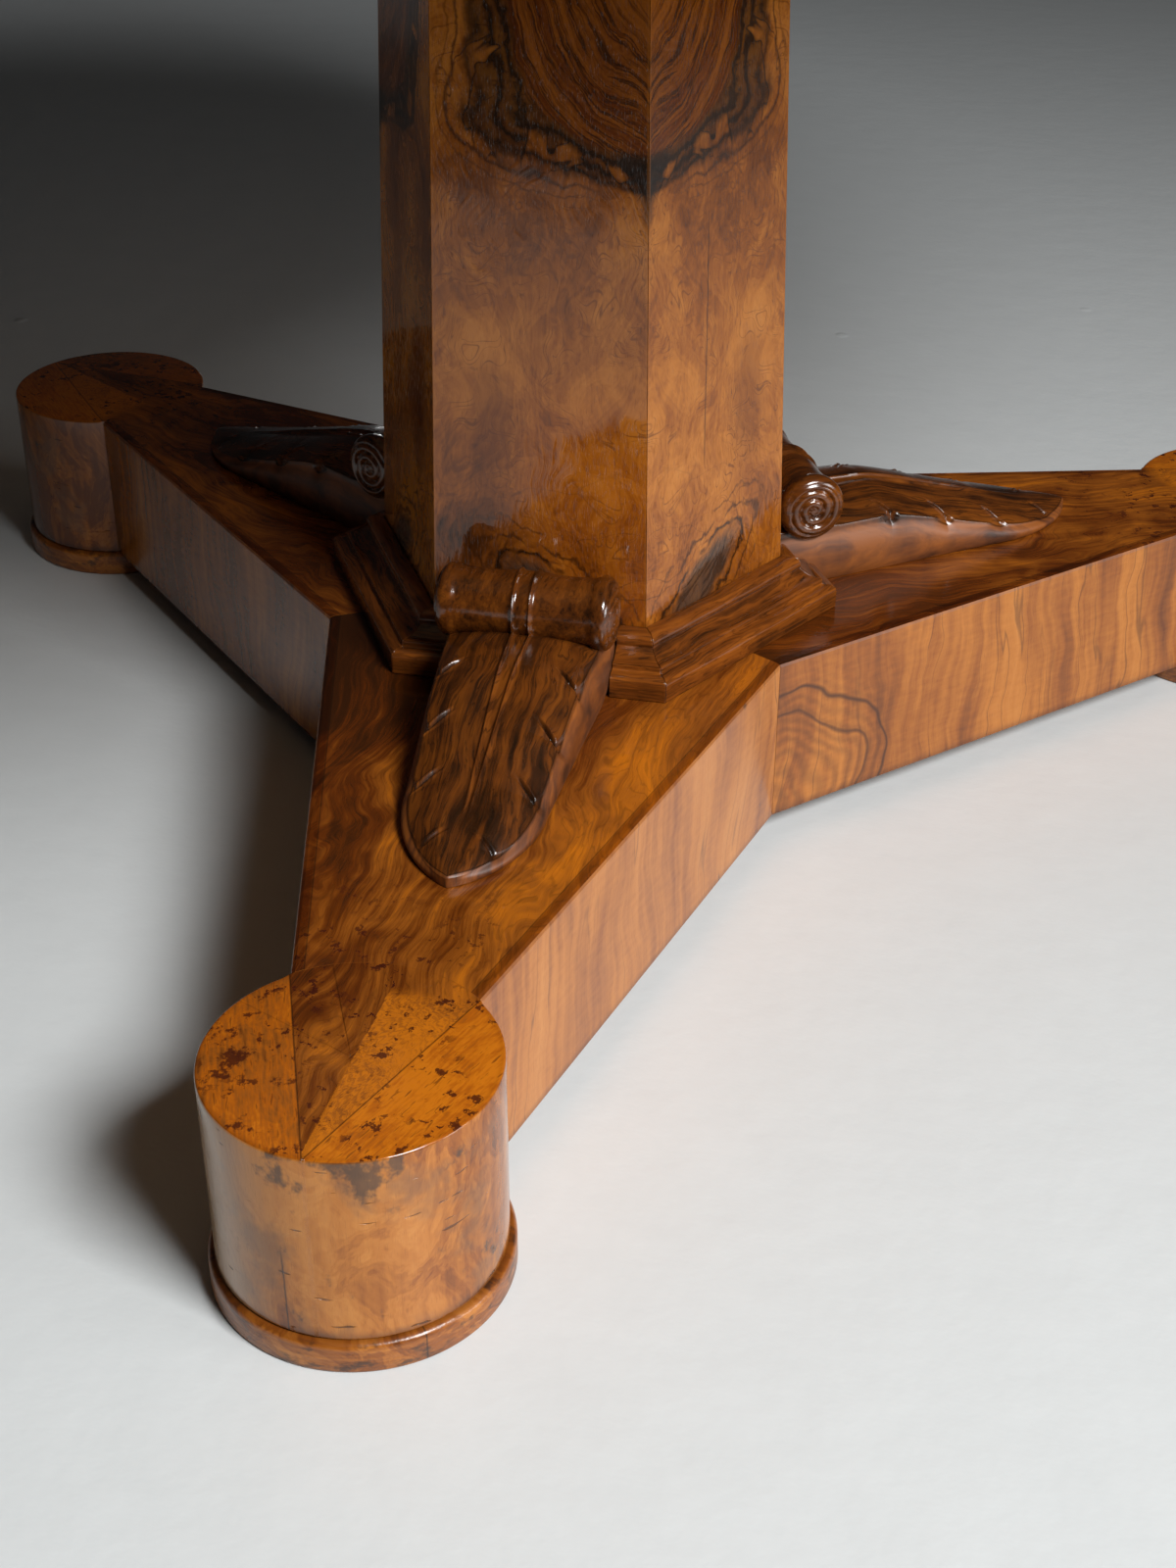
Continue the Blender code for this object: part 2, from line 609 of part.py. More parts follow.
def make_top(surfaces, carrier):
    """Round top and its shallow apron in curved segments."""
    edge_foot = arc((TOP_RADIUS - TOP_EDGE_ROUND, TOP_UNDERSIDE + TOP_EDGE_ROUND), TOP_EDGE_ROUND, -90, 0, 3)
    edge_top = arc((TOP_RADIUS - TOP_EDGE_ROUND, TABLE_HEIGHT - TOP_EDGE_ROUND), TOP_EDGE_ROUND, 0, 90, 3)
    top = place("table_top", lathe(edge_foot + edge_top, TOP_STEPS), surfaces["veneer"], 0, carrier, smooth=True)
    inner = APRON_INNER_RADIUS
    outer = inner + APRON_THICKNESS
    joint = math.degrees(FIT_GAP / 2 / inner)
    share = 360 / APRON_SEGMENTS
    for i in range(APRON_SEGMENTS):
        outline = arc((0.0, 0.0), outer, joint, share - joint, APRON_SEGMENT_STEPS)
        outline += arc((0.0, 0.0), inner, share - joint, joint, APRON_SEGMENT_STEPS)
        bm = prism(outline, BLOCK_FOOT, BLOCK_TOP)
        place(f"apron_segment_{i + 1}", bm, surfaces["veneer"], share * i, carrier, smooth=True)
    return top


def make_bearers(surfaces, carrier, top, block):
    """Two bearers under the top, each turning on an iron pin in the side of the block."""
    inner, outer = BEARER_INNER_SIDE, BEARER_OUTER_SIDE
    screw_y = BEARER_HALF_LENGTH - BEARER_SCREW_FROM_END
    for name, side in (("right", 1), ("left", -1)):
        outline = [(-BEARER_HALF_LENGTH, BLOCK_TOP), (-BEARER_HALF_LENGTH, BLOCK_TOP - BEARER_END_CHAMFER),
                   (-BEARER_HALF_LENGTH + BEARER_END_CHAMFER, BLOCK_FOOT),
                   (BEARER_HALF_LENGTH - BEARER_END_CHAMFER, BLOCK_FOOT),
                   (BEARER_HALF_LENGTH, BLOCK_TOP - BEARER_END_CHAMFER), (BEARER_HALF_LENGTH, BLOCK_TOP)]
        low, high = sorted((side * inner, side * outer))
        bearer = place(f"top_bearer_{name}", prism(outline, low, high, "X"), surfaces["carcase"], 0, carrier)
        start = Vector((side * (BLOCK_HALF_WIDTH - PIN_IN_BLOCK), PIVOT_DISTANCE, PIVOT_HEIGHT))
        end = Vector((side * outer, PIVOT_DISTANCE, PIVOT_HEIGHT))
        place(f"pivot_pin_{name}", rod(PIN_RADIUS, start, end), surfaces["iron"], smooth=True)
        over = Vector((side * FIT_GAP, 0, 0))
        hole = cutter(f"pivot_pin_{name}_hole", rod(PIN_RADIUS + PIVOT_CLEARANCE, start - over, end + over))
        cut(hole, bearer, block)
        for place_name, y in (("front", -screw_y), ("back", screw_y)):
            head = (side * (inner + outer) / 2, y, BLOCK_FOOT)
            length = BLOCK_HEIGHT + BEARER_SCREW_BITE
            _, hole = screw(f"bearer_screw_{name}_{place_name}", head, (0, 0, 1), length, surfaces["iron"], 0, carrier)
            cut(hole, bearer, top)


def make_catch(surfaces, carrier, block):
    """Brass slide bolt under the top, shown drawn back, and the strike plate on the block that it shoots into."""
    half = CATCH_WIDTH / 2 + CATCH_CLEARANCE
    slot = CATCH_SLOT / 2
    roof = BLOCK_TOP
    channel_top = roof - CATCH_WALL
    channel_foot = channel_top - CATCH_HEIGHT - 2 * CATCH_CLEARANCE
    foot = channel_foot - CATCH_WALL
    wide = half + CATCH_WALL
    case_end = -PIVOT_DISTANCE - CATCH_CASE_DISTANCE
    case_start = case_end - CATCH_CASE_LENGTH
    section = [(-wide, roof), (-wide, foot), (-slot, foot), (-slot, channel_foot), (-half, channel_foot),
               (-half, channel_top), (half, channel_top), (half, channel_foot), (slot, channel_foot), (slot, foot),
               (wide, foot), (wide, roof)]
    place("catch_case", prism(section, case_start, case_end, "Y"), surfaces["brass"], 0, carrier)

    strike_front = -PIVOT_DISTANCE - FIT_GAP - STRIKE_THICKNESS
    tip = strike_front - CATCH_TIP_GAP
    bolt_top = channel_top - CATCH_CLEARANCE
    bolt_foot = bolt_top - CATCH_HEIGHT
    axis = empty("catch_axis", (0, tip, bolt_foot), carrier)
    bolt = place("catch_bolt", box((-CATCH_WIDTH / 2, case_start, bolt_foot), (CATCH_WIDTH / 2, tip, bolt_top)),
                 surfaces["brass"], 0, axis)
    knob_top = bolt_foot - CATCH_STEM_LENGTH
    knob = arc((0.0, knob_top - CATCH_KNOB_RADIUS), CATCH_KNOB_RADIUS, -85, 65, 8)
    knob += [(CATCH_STEM_RADIUS, knob_top), (CATCH_STEM_RADIUS, bolt_foot + CATCH_HEIGHT / 2)]
    stem_place = Matrix.Translation((0, (case_start + case_end) / 2 - CATCH_TRAVEL / 2, 0))
    boolean(bolt, cutter("catch_knob", lathe(knob, SMALL_ROUND_STEPS, stem_place)), "UNION")

    strike_top = BLOCK_TOP - STRIKE_INSET
    low = (-STRIKE_WIDTH / 2, strike_front, strike_top - STRIKE_HEIGHT)
    high = (STRIKE_WIDTH / 2, -PIVOT_DISTANCE - FIT_GAP, strike_top)
    strike = place("catch_strike", box(low, high), surfaces["brass"])
    room = 2 * CATCH_CLEARANCE
    mortise_low = (-CATCH_WIDTH / 2 - room, strike_front - FIT_GAP, bolt_foot - room)
    mortise_high = (CATCH_WIDTH / 2 + room, tip + CATCH_TRAVEL + room, bolt_top + room)
    cut(cutter("catch_mortise", box(mortise_low, mortise_high)), strike, block)


def main():
    clear_scene()
    surfaces = make_materials()
    arms = make_feet_and_arms(surfaces)
    plate = make_hub(surfaces, arms)
    make_staves(surfaces)
    lower_plug = make_plug("column_plug_lower", COLUMN_FOOT, COLUMN_FOOT + PLUG_HEIGHT, surfaces["carcase"])
    upper_plug = make_plug("column_plug_upper", COLUMN_TOP - PLUG_HEIGHT, COLUMN_TOP, surfaces["carcase"])
    cap = make_cap(surfaces)
    make_mouldings(surfaces)
    make_leaves(surfaces)
    block = make_block(surfaces)
    make_tie_rod(surfaces, [plate, *arms.values(), lower_plug, upper_plug, cap, block])
    tilt_axis = empty("tilt_axis", (0, PIVOT_DISTANCE, PIVOT_HEIGHT))
    top = make_top(surfaces, tilt_axis)
    make_bearers(surfaces, tilt_axis, top, block)
    make_catch(surfaces, tilt_axis, block)


main()
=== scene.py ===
"""Looks of the centre table: veneers, carving, polish, light and camera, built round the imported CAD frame.

Metres, +Z up, in the CAD model's frame. Each arm has a frame of its own, in which u runs outwards, v across
and z up.
"""

import math

import bmesh
import bpy
from mathutils import Matrix, Vector


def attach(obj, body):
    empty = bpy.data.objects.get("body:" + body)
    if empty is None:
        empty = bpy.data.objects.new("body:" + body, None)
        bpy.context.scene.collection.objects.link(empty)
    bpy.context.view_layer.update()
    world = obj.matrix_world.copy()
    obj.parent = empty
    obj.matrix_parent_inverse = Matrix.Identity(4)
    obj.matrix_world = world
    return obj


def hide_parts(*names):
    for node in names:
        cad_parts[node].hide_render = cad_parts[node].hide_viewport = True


# Sizes that the CAD model has too
FIT_GAP = 0.0003
ARM_ANGLES = {"front": -90, "right": 30, "left": 150}
BETWEEN_ANGLES = {"front_right": -30, "back": 90, "front_left": 210}
HALF_FACE = math.radians(30)
FOOT_DISTANCE = 0.413
PAD_RADIUS = 0.063
PAD_HEIGHT = 0.015
PAD_TOP_ROUND = 0.003
PAD_FLOOR_ROUND = 0.0015
PAD_JOINT = 0.044
DRUM_RADIUS = 0.06
DRUM_EDGE = 0.0012
PLATFORM_HEIGHT = 0.106
ARM_HALF_WIDTH = 0.04
INNER_CORNER_RADIUS = 0.138
COLUMN_FOOT_RADIUS = 0.1095
COLUMN_TOP_RADIUS = 0.0902
TABLE_HEIGHT = 0.76
TOP_RADIUS = 0.6
TOP_THICKNESS = 0.024
APRON_INSET = 0.025
APRON_THICKNESS = 0.022
APRON_SEGMENTS = 6
BLOCK_HEIGHT = 0.048
CAP_HEIGHT = 0.03
CAP_LIP = 0.009
CAP_OVERHANG = 0.026
MOULDING_DEPTH = 0.026
MOULDING_HEIGHT = 0.027
LEAF_HALF_WIDTH = 0.0395
LEAF_TIP_DISTANCE = 0.296
LEAF_ROUND_LENGTH = 0.061
LEAF_ROUND_HALF_WIDTH = 0.032
LEAF_TIP_POINT = 0.75
LEAF_TIP_BLUNT = 0.004
LEAF_RIM_HEIGHT = 0.031
LEAF_TIP_HEIGHT = 0.005
LEAF_CROWN_RISE = 0.007
LEAF_CROWN_RUN = 0.02
LEAF_RIM_INSET = 0.002
LEAF_BELLY = 0.0015
LEAF_NOTCHES = 4
LEAF_NOTCH_DEPTH = 0.0025
LEAF_NOTCH_SPACING = 0.0358
LEAF_TIP_LOBE = 0.0206
LEAF_SWING = math.radians(2)
SCROLL_RADIUS = 0.0182
SCROLL_HALF_LENGTH = 0.0425
SCROLL_STANDOFF = 0.0041
SCROLL_SINK = 0.0049

TOP_UNDERSIDE = TABLE_HEIGHT - TOP_THICKNESS
BLOCK_TOP = TOP_UNDERSIDE - FIT_GAP
BLOCK_FOOT = BLOCK_TOP - BLOCK_HEIGHT
COLUMN_TOP = BLOCK_FOOT - 2 * FIT_GAP - CAP_HEIGHT
COLUMN_TAPER = (COLUMN_FOOT_RADIUS - COLUMN_TOP_RADIUS) / (COLUMN_TOP - PLATFORM_HEIGHT)
COLUMN_APOTHEM = COLUMN_FOOT_RADIUS * math.cos(HALF_FACE)
SCROLL_DISTANCE = COLUMN_APOTHEM + SCROLL_STANDOFF + SCROLL_RADIUS
SCROLL_HEIGHT = PLATFORM_HEIGHT + LEAF_RIM_HEIGHT + SCROLL_RADIUS - SCROLL_SINK
CORNER_U = INNER_CORNER_RADIUS * math.cos(math.radians(60))
CORNER_V = INNER_CORNER_RADIUS * math.sin(math.radians(60))
ARM_END_U = FOOT_DISTANCE - math.sqrt(DRUM_RADIUS ** 2 - ARM_HALF_WIDTH ** 2)
ARM_SLOPE = (CORNER_V - ARM_HALF_WIDTH) / (ARM_END_U - CORNER_U)
ARM_SIDE_COS = 1 / math.sqrt(1 + ARM_SLOPE ** 2)

# Sizes of rounded edges
FINE_EDGE = 0.0004
STAVE_EDGE = 0.0006
SOFT_EDGE = 0.0008
MOULDING_EDGE = 0.0009
ROUGH_EDGE = 0.0012
TOP_EDGE = 0.006
DRUM_FOOT_INSET = 0.0006
DRUM_FOOT_RISE = 0.0008
DRUM_CRISP_EDGE = 0.0001
DRUM_CLOSE_FIT = 0.8 * FIT_GAP
MOUTH_BLEND_IN = 0.02
MOUTH_BLEND_OUT = 0.06

# Plinth moulding, with its fillet's corners counted in from the front and up from the platform
TORUS_RADIUS = 0.0035
TORUS_HEIGHT = 0.009
FILLET_CORNERS = ((0.0063, 0.0126), (0.0068, 0.0132), (0.0068, 0.0154), (0.0074, 0.016))
COVE_SAG = 0.0016
BEAD_INSET = 0.004
BEAD_RADIUS = 0.0045

# Carver's cuts, with the rim's corners counted out and down from the leaf's edge
NOTCH_BACK = 0.01
NOTCH_FRONT = 0.005
VEIN_BACK = 0.0105
VEIN_IN = 0.012
VEIN_WIDTH = 0.0008
VEIN_DEPTH = 0.0023
VEIN_LIP = 0.0008
VEIN_OVERRUN = 0.006
LOBE_STEP = 0.0006
LOBE_STEP_RUN = 0.008
RIB_SPREAD = 0.0044
RIB_LENGTH = 0.156
RIB_WIDTH = 0.0008
RIB_HEIGHT = 0.0013
RIB_VALLEY = 0.0005
RIB_FADE = (0.012, 0.08)
LEAF_EDGE = 0.0006
LEAF_FULL_RIM = 0.016
LEAF_RIM_CORNERS = ((0.0001, 0.0007), (-0.0002, 0.0002))
SCROLL_PLAIN = 0.006
SCROLL_RIDGE_WIDTH = 0.0009
SCROLL_WAIST = 0.0009
SCROLL_COLLAR = 0.0008
SCROLL_END_ROUND = 0.0024
SPIRAL_PITCH = 0.0052
SPIRAL_RIDGE = 0.0016
SPIRAL_START = (0.0008, 0.0028)
SPIRAL_EYE = 0.0012
SPIRAL_EYE_RADIUS = 0.003

# Camera, solved from the photograph for a picture of 1200 by 1600
CAMERA_PLACE = (0.22424, -1.03045, 0.64266)
CAMERA_YAW = math.radians(11.996)
CAMERA_PITCH = math.radians(32.328)
CAMERA_ROLL = 0.00426
CAMERA_SENSOR = 36.0
CAMERA_LENS = 49.814

# Lamps, each with its place, target, size, spread in degrees and power
LAMPS = {
    "key": ((1.77, -1.53, 2.16), (-0.55, -0.45, 0.0), (1.0, 0.9), 110, 42.5),
    "side": ((2.1, -0.5, 0.58), (0.0, 0.05, 0.22), (0.8, 0.5), 100, 4.0),
    "back": ((-0.5, 2.2, 0.07), (0.0, 0.0, 0.9), (0.6, 0.1), 38, 1.0),
}
WORLD_COLOUR = (0.012, 0.012, 0.012, 1.0)

# Floor
FLOOR_WIDTH = 10.0
FLOOR_FRONT = -7.0
FLOOR_BACK = 7.0
FLOOR_FADE = (-1.7, -1.2)
FLOOR_TONES = ((0.3, (0.7, 0.732, 0.736)), (0.7, (0.72, 0.752, 0.756)))
FLOOR_SHADE = (0.05, 0.052, 0.052)

# Wood colours, from dark to light
BLACK_LINE = (0.012, 0.005, 0.002)
DARK_HEART = (0.045, 0.013, 0.003)
CHESTNUT = (0.12, 0.027, 0.003)
WALNUT = (0.135, 0.036, 0.005)
AMBER = (0.27, 0.077, 0.008)
HONEY = (0.43, 0.145, 0.018)
PALE = (0.55, 0.215, 0.04)
ORANGE = (0.4, 0.1, 0.005)
GOLD = (0.54, 0.155, 0.007)
SPOT = (0.05, 0.008, 0.004)
PATCH_GREY = (0.05, 0.036, 0.027)
# Painted sheen: the floor's reflection and bounce light on the left of a drum
PAINTED_SHEEN = (0.48, 0.33, 0.21)
BRUISE = (0.15, 0.07, 0.034)
STAIN = (0.045, 0.028, 0.02)
WORN_DARK = (0.04, 0.018, 0.01)

# Tones that a colour is multiplied by
PORE_TONE = (0.45, 0.38, 0.3)
EDGE_TONE = (0.42, 0.3, 0.22)
PAD_TOP_TONE = (0.4, 0.3, 0.22)
BOTTOM_TONE = (0.35, 0.28, 0.22)
GROOVE_TONE = (0.3, 0.22, 0.16)
SHADOW_TONE = (0.5, 0.42, 0.4)
# Painted reflection, multiplied into the foot of the column's front face near its matched edge
PAINTED_REFLECTION_TINT = (0.94, 0.77, 0.42)

# Bare wood and metals, as (position, colour) stops
BOARD_TONES = ((0.2, (0.12, 0.062, 0.026)), (0.5, (0.235, 0.135, 0.062)), (0.8, (0.33, 0.205, 0.105)))
PINE_TONES = ((0.2, (0.3, 0.16, 0.06)), (0.6, (0.47, 0.3, 0.14)), (0.9, (0.55, 0.38, 0.2)))
IRON_TONES = ((0.35, (0.035, 0.033, 0.032)), (0.55, (0.075, 0.062, 0.055)), (0.72, (0.16, 0.065, 0.028)))
BRASS_TONES = ((0.32, (0.2, 0.125, 0.045)), (0.52, (0.52, 0.36, 0.13)), (0.7, (0.66, 0.49, 0.21)))

POLISH_IOR = 1.58
COLUMN_POLISH = 0.35

# Places of the figure in the veneers
HEART_HALF_WIDTH = 0.0625
HEART_HEIGHT = 0.432
HEART_HALF_HEIGHT = 0.082
HEART_LIFT = 0.08
BAND_MIDDLE = 0.424
BAND_DROP = 0.0566
BAND_RISE = 0.13
FORK_FOOT = 0.33
FORK_TOP = 0.364
FORK_FLARE = 13.5
PATCH_CENTRE = (0.042, 0.142)
PATCH_TILT = math.radians(38)
PATCH_HALF_LENGTH = 0.033
PATCH_HALF_WIDTH = 0.015
SHADOW_CENTRE = (0.076, 0.232)
SHADOW_HALF_WIDTH = 0.017
SHADOW_HALF_HEIGHT = 0.046
CRACK_PLACE = 0.043
CRACK_FOOT = 0.2
CRACK_TOP = 0.33
BOW_HEIGHT = 0.018
BOW_HALF_WIDTH = 0.075
BOW_HALF_HEIGHT = 0.062
INLAY_START = 0.36
TOP_BORDER = TOP_RADIUS - 0.036

# How much paler each arm's top grows across it, partly as painted shade; how pale its sides and drum are,
# lower on the right and left arms partly as painted shade; and how strong the painted sheen on its drum is
ARM_TONES = {"front": (2.4, 0.48, 0.4), "right": (0.5, 0.38, 0.1), "left": (0.5, 0.28, 0.1)}

# Sockets of a colour mixing node
MIX_SHARE, MIX_FIRST, MIX_SECOND, MIX_RESULT = 0, 6, 7, 2


def operator(kind, swapped=False):
    """A method that joins a field to a number or another field by one math node."""
    def method(self, other):
        pair = (other, self) if swapped else (self, other)
        return self.paint.math(kind, *pair)
    return method


class Field:
    """A number or a colour that varies over a surface. Arithmetic on it adds nodes to its material."""

    def __init__(self, paint, socket):
        self.paint = paint
        self.socket = socket

    __add__ = __radd__ = operator("ADD")
    __sub__ = operator("SUBTRACT")
    __rsub__ = operator("SUBTRACT", swapped=True)
    __mul__ = __rmul__ = operator("MULTIPLY")
    __truediv__ = operator("DIVIDE")
    __pow__ = operator("POWER")
    most = operator("MAXIMUM")
    least = operator("MINIMUM")

    def abs(self):
        return self.paint.math("ABSOLUTE", self)

    def wave(self):
        """Sine of the field, brought into 0 to 1."""
        return self.paint.math("SINE", self) * 0.5 + 0.5

    def rise(self, low, high):
        """0 below low, 1 above high, and a smooth climb between them."""
        node = self.paint.node("ShaderNodeMapRange", interpolation_type="SMOOTHSTEP")
        self.paint.feed(node.inputs["Value"], self)
        node.inputs["From Min"].default_value = low
        node.inputs["From Max"].default_value = high
        return Field(self.paint, node.outputs["Result"])

    def fall(self, low, high):
        return 1.0 - self.rise(low, high)

    def line(self, at, width):
        """1 on one value of the field, fading to 0 at a distance of width."""
        return (self - at).abs().fall(0.0, width)

    def lines(self, *marks):
        """The strongest of several lines, each given by its value, its width and its strength."""
        strongest, *others = [self.line(at, width) * strength for at, width, strength in marks]
        for other in others:
            strongest = strongest.most(other)
        return strongest

    def mix(self, share, colour):
        """This colour where share is 0, and the other colour where it is 1."""
        return self.paint.blend("MIX", share, self, colour)

    def shade(self, share, tone):
        """This colour, multiplied by a tone where share is 1."""
        return self.paint.blend("MULTIPLY", share, self, tone)


class Paint:
    """A material under construction. Its noises share one seed."""

    def __init__(self, name, seed=0.0):
        self.material = bpy.data.materials.new(name)
        self.material.use_nodes = True
        self.tree = self.material.node_tree
        self.shader = self.tree.nodes["Principled BSDF"]
        self.seed = seed

    def node(self, kind, **settings):
        made = self.tree.nodes.new(kind)
        for key, value in settings.items():
            setattr(made, key, value)
        return made

    def feed(self, socket, value):
        if isinstance(value, Field):
            self.tree.links.new(value.socket, socket)
        elif isinstance(value, tuple) and len(value) == 3 and socket.type == "RGBA":
            socket.default_value = (*value, 1.0)
        else:
            socket.default_value = value

    def math(self, operation, *values):
        made = self.node("ShaderNodeMath", operation=operation)
        for socket, value in zip(made.inputs, values):
            self.feed(socket, value)
        return Field(self, made.outputs[0])

    def axes(self, vector):
        split = self.node("ShaderNodeSeparateXYZ")
        self.tree.links.new(vector, split.inputs[0])
        return [Field(self, socket) for socket in split.outputs]

    def place(self, angle=0.0):
        """The point on the surface in the piece's own frame, with u turned along an angle in degrees."""
        x, y, z = self.axes(self.node("ShaderNodeTexCoord").outputs["Object"])
        if not angle:
            return x, y, z
        cos, sin = math.cos(math.radians(angle)), math.sin(math.radians(angle))
        return x * cos + y * sin, y * cos - x * sin, z

    def up(self):
        """How far the surface faces up, from -1 to 1."""
        return self.axes(self.node("ShaderNodeNewGeometry").outputs["True Normal"])[2]

    def texture(self, made, at, **sockets):
        """Sets a texture node, whose place is filled up with the seed, and gives its first output."""
        vector = self.node("ShaderNodeCombineXYZ")
        for socket, value in zip(vector.inputs, (*at, self.seed)):
            self.feed(socket, value)
        self.tree.links.new(vector.outputs[0], made.inputs["Vector"])
        for name, value in sockets.items():
            made.inputs[name].default_value = value
        return Field(self, made.outputs[0])

    def noise(self, at, detail=3, roughness=0.5, warp=0.0):
        """Noise from 0 to 1 with one blot per unit of the coordinates."""
        made = self.node("ShaderNodeTexNoise", noise_dimensions="3D")
        return self.texture(made, at, Scale=1.0, Detail=detail, Roughness=roughness, Distortion=warp)

    def cells(self, at):
        """Distance to the nearest of scattered points, about one point per unit of the coordinates."""
        made = self.node("ShaderNodeTexVoronoi", voronoi_dimensions="3D", feature="F1")
        return self.texture(made, at, Scale=1.0)

    def ramp(self, value, *stops):
        """Colour that runs through (position, colour) stops."""
        made = self.node("ShaderNodeValToRGB")
        points = made.color_ramp.elements
        while len(points) < len(stops):
            points.new(1.0)
        for point, (position, colour) in zip(points, stops):
            point.position = position
            point.color = (*colour, 1.0)
        self.feed(made.inputs[0], value)
        return Field(self, made.outputs[0])

    def blend(self, kind, share, first, second):
        made = self.node("ShaderNodeMix", data_type="RGBA", blend_type=kind)
        self.feed(made.inputs[MIX_SHARE], share)
        self.feed(made.inputs[MIX_FIRST], first)
        self.feed(made.inputs[MIX_SECOND], second)
        return Field(self, made.outputs[MIX_RESULT])

    def finish(self, colour, roughness, height=None, relief=0.001, metallic=0.0):
        self.feed(self.shader.inputs["Base Color"], colour)
        self.feed(self.shader.inputs["Roughness"], roughness)
        self.shader.inputs["Metallic"].default_value = metallic
        self.shader.inputs["IOR"].default_value = POLISH_IOR
        if height is not None:
            bump = self.node("ShaderNodeBump")
            bump.inputs["Distance"].default_value = relief
            self.feed(bump.inputs["Height"], height)
            self.tree.links.new(bump.outputs["Normal"], self.shader.inputs["Normal"])
        return self.material


# Veneers

def pores(paint, along, across, length=0.006, width=0.00035):
    """Short dark pores that run with the grain, from 0 to 1."""
    return paint.noise((along / length, across / width), detail=1).rise(0.6, 0.74)


def distance(a, b):
    """Distance from the middle of two fields that are 0 there."""
    return (a ** 2.0 + b ** 2.0) ** 0.5


def polish(paint, a, b):
    """Roughness of old French polish: mostly glossy, with hazy rubbed patches."""
    return paint.noise((a * 18, b * 18), roughness=0.6).rise(0.3, 0.8) * 0.12 + 0.11


def burl(paint, a, b):
    """Clouded burl figure, from 0, dark, to 1, pale, with faint curled lines in it."""
    sway = paint.noise((a * 14, b * 11), detail=2)
    clouds = paint.noise((a * 34 + sway * 3.2, b * 23 - sway * 2.4), detail=5, roughness=0.58, warp=0.4)
    fibres = paint.noise((a * 230 + sway * 46, b * 36 - sway * 30), roughness=0.6)
    curls = (clouds * 80 + fibres * 5).wave()
    return (clouds - 0.5) * 1.5 + (fibres - 0.5) * 0.4 + (curls - 0.5) * 0.12 + 0.5


def spots(paint, a, b):
    """Ragged dark spots of a few millimetres in loose clusters."""
    ragged = paint.noise((a * 125, b * 125), detail=4, roughness=0.7)
    return ragged.rise(0.565, 0.605) * paint.noise((a * 30, b * 30), detail=1).rise(0.42, 0.54)


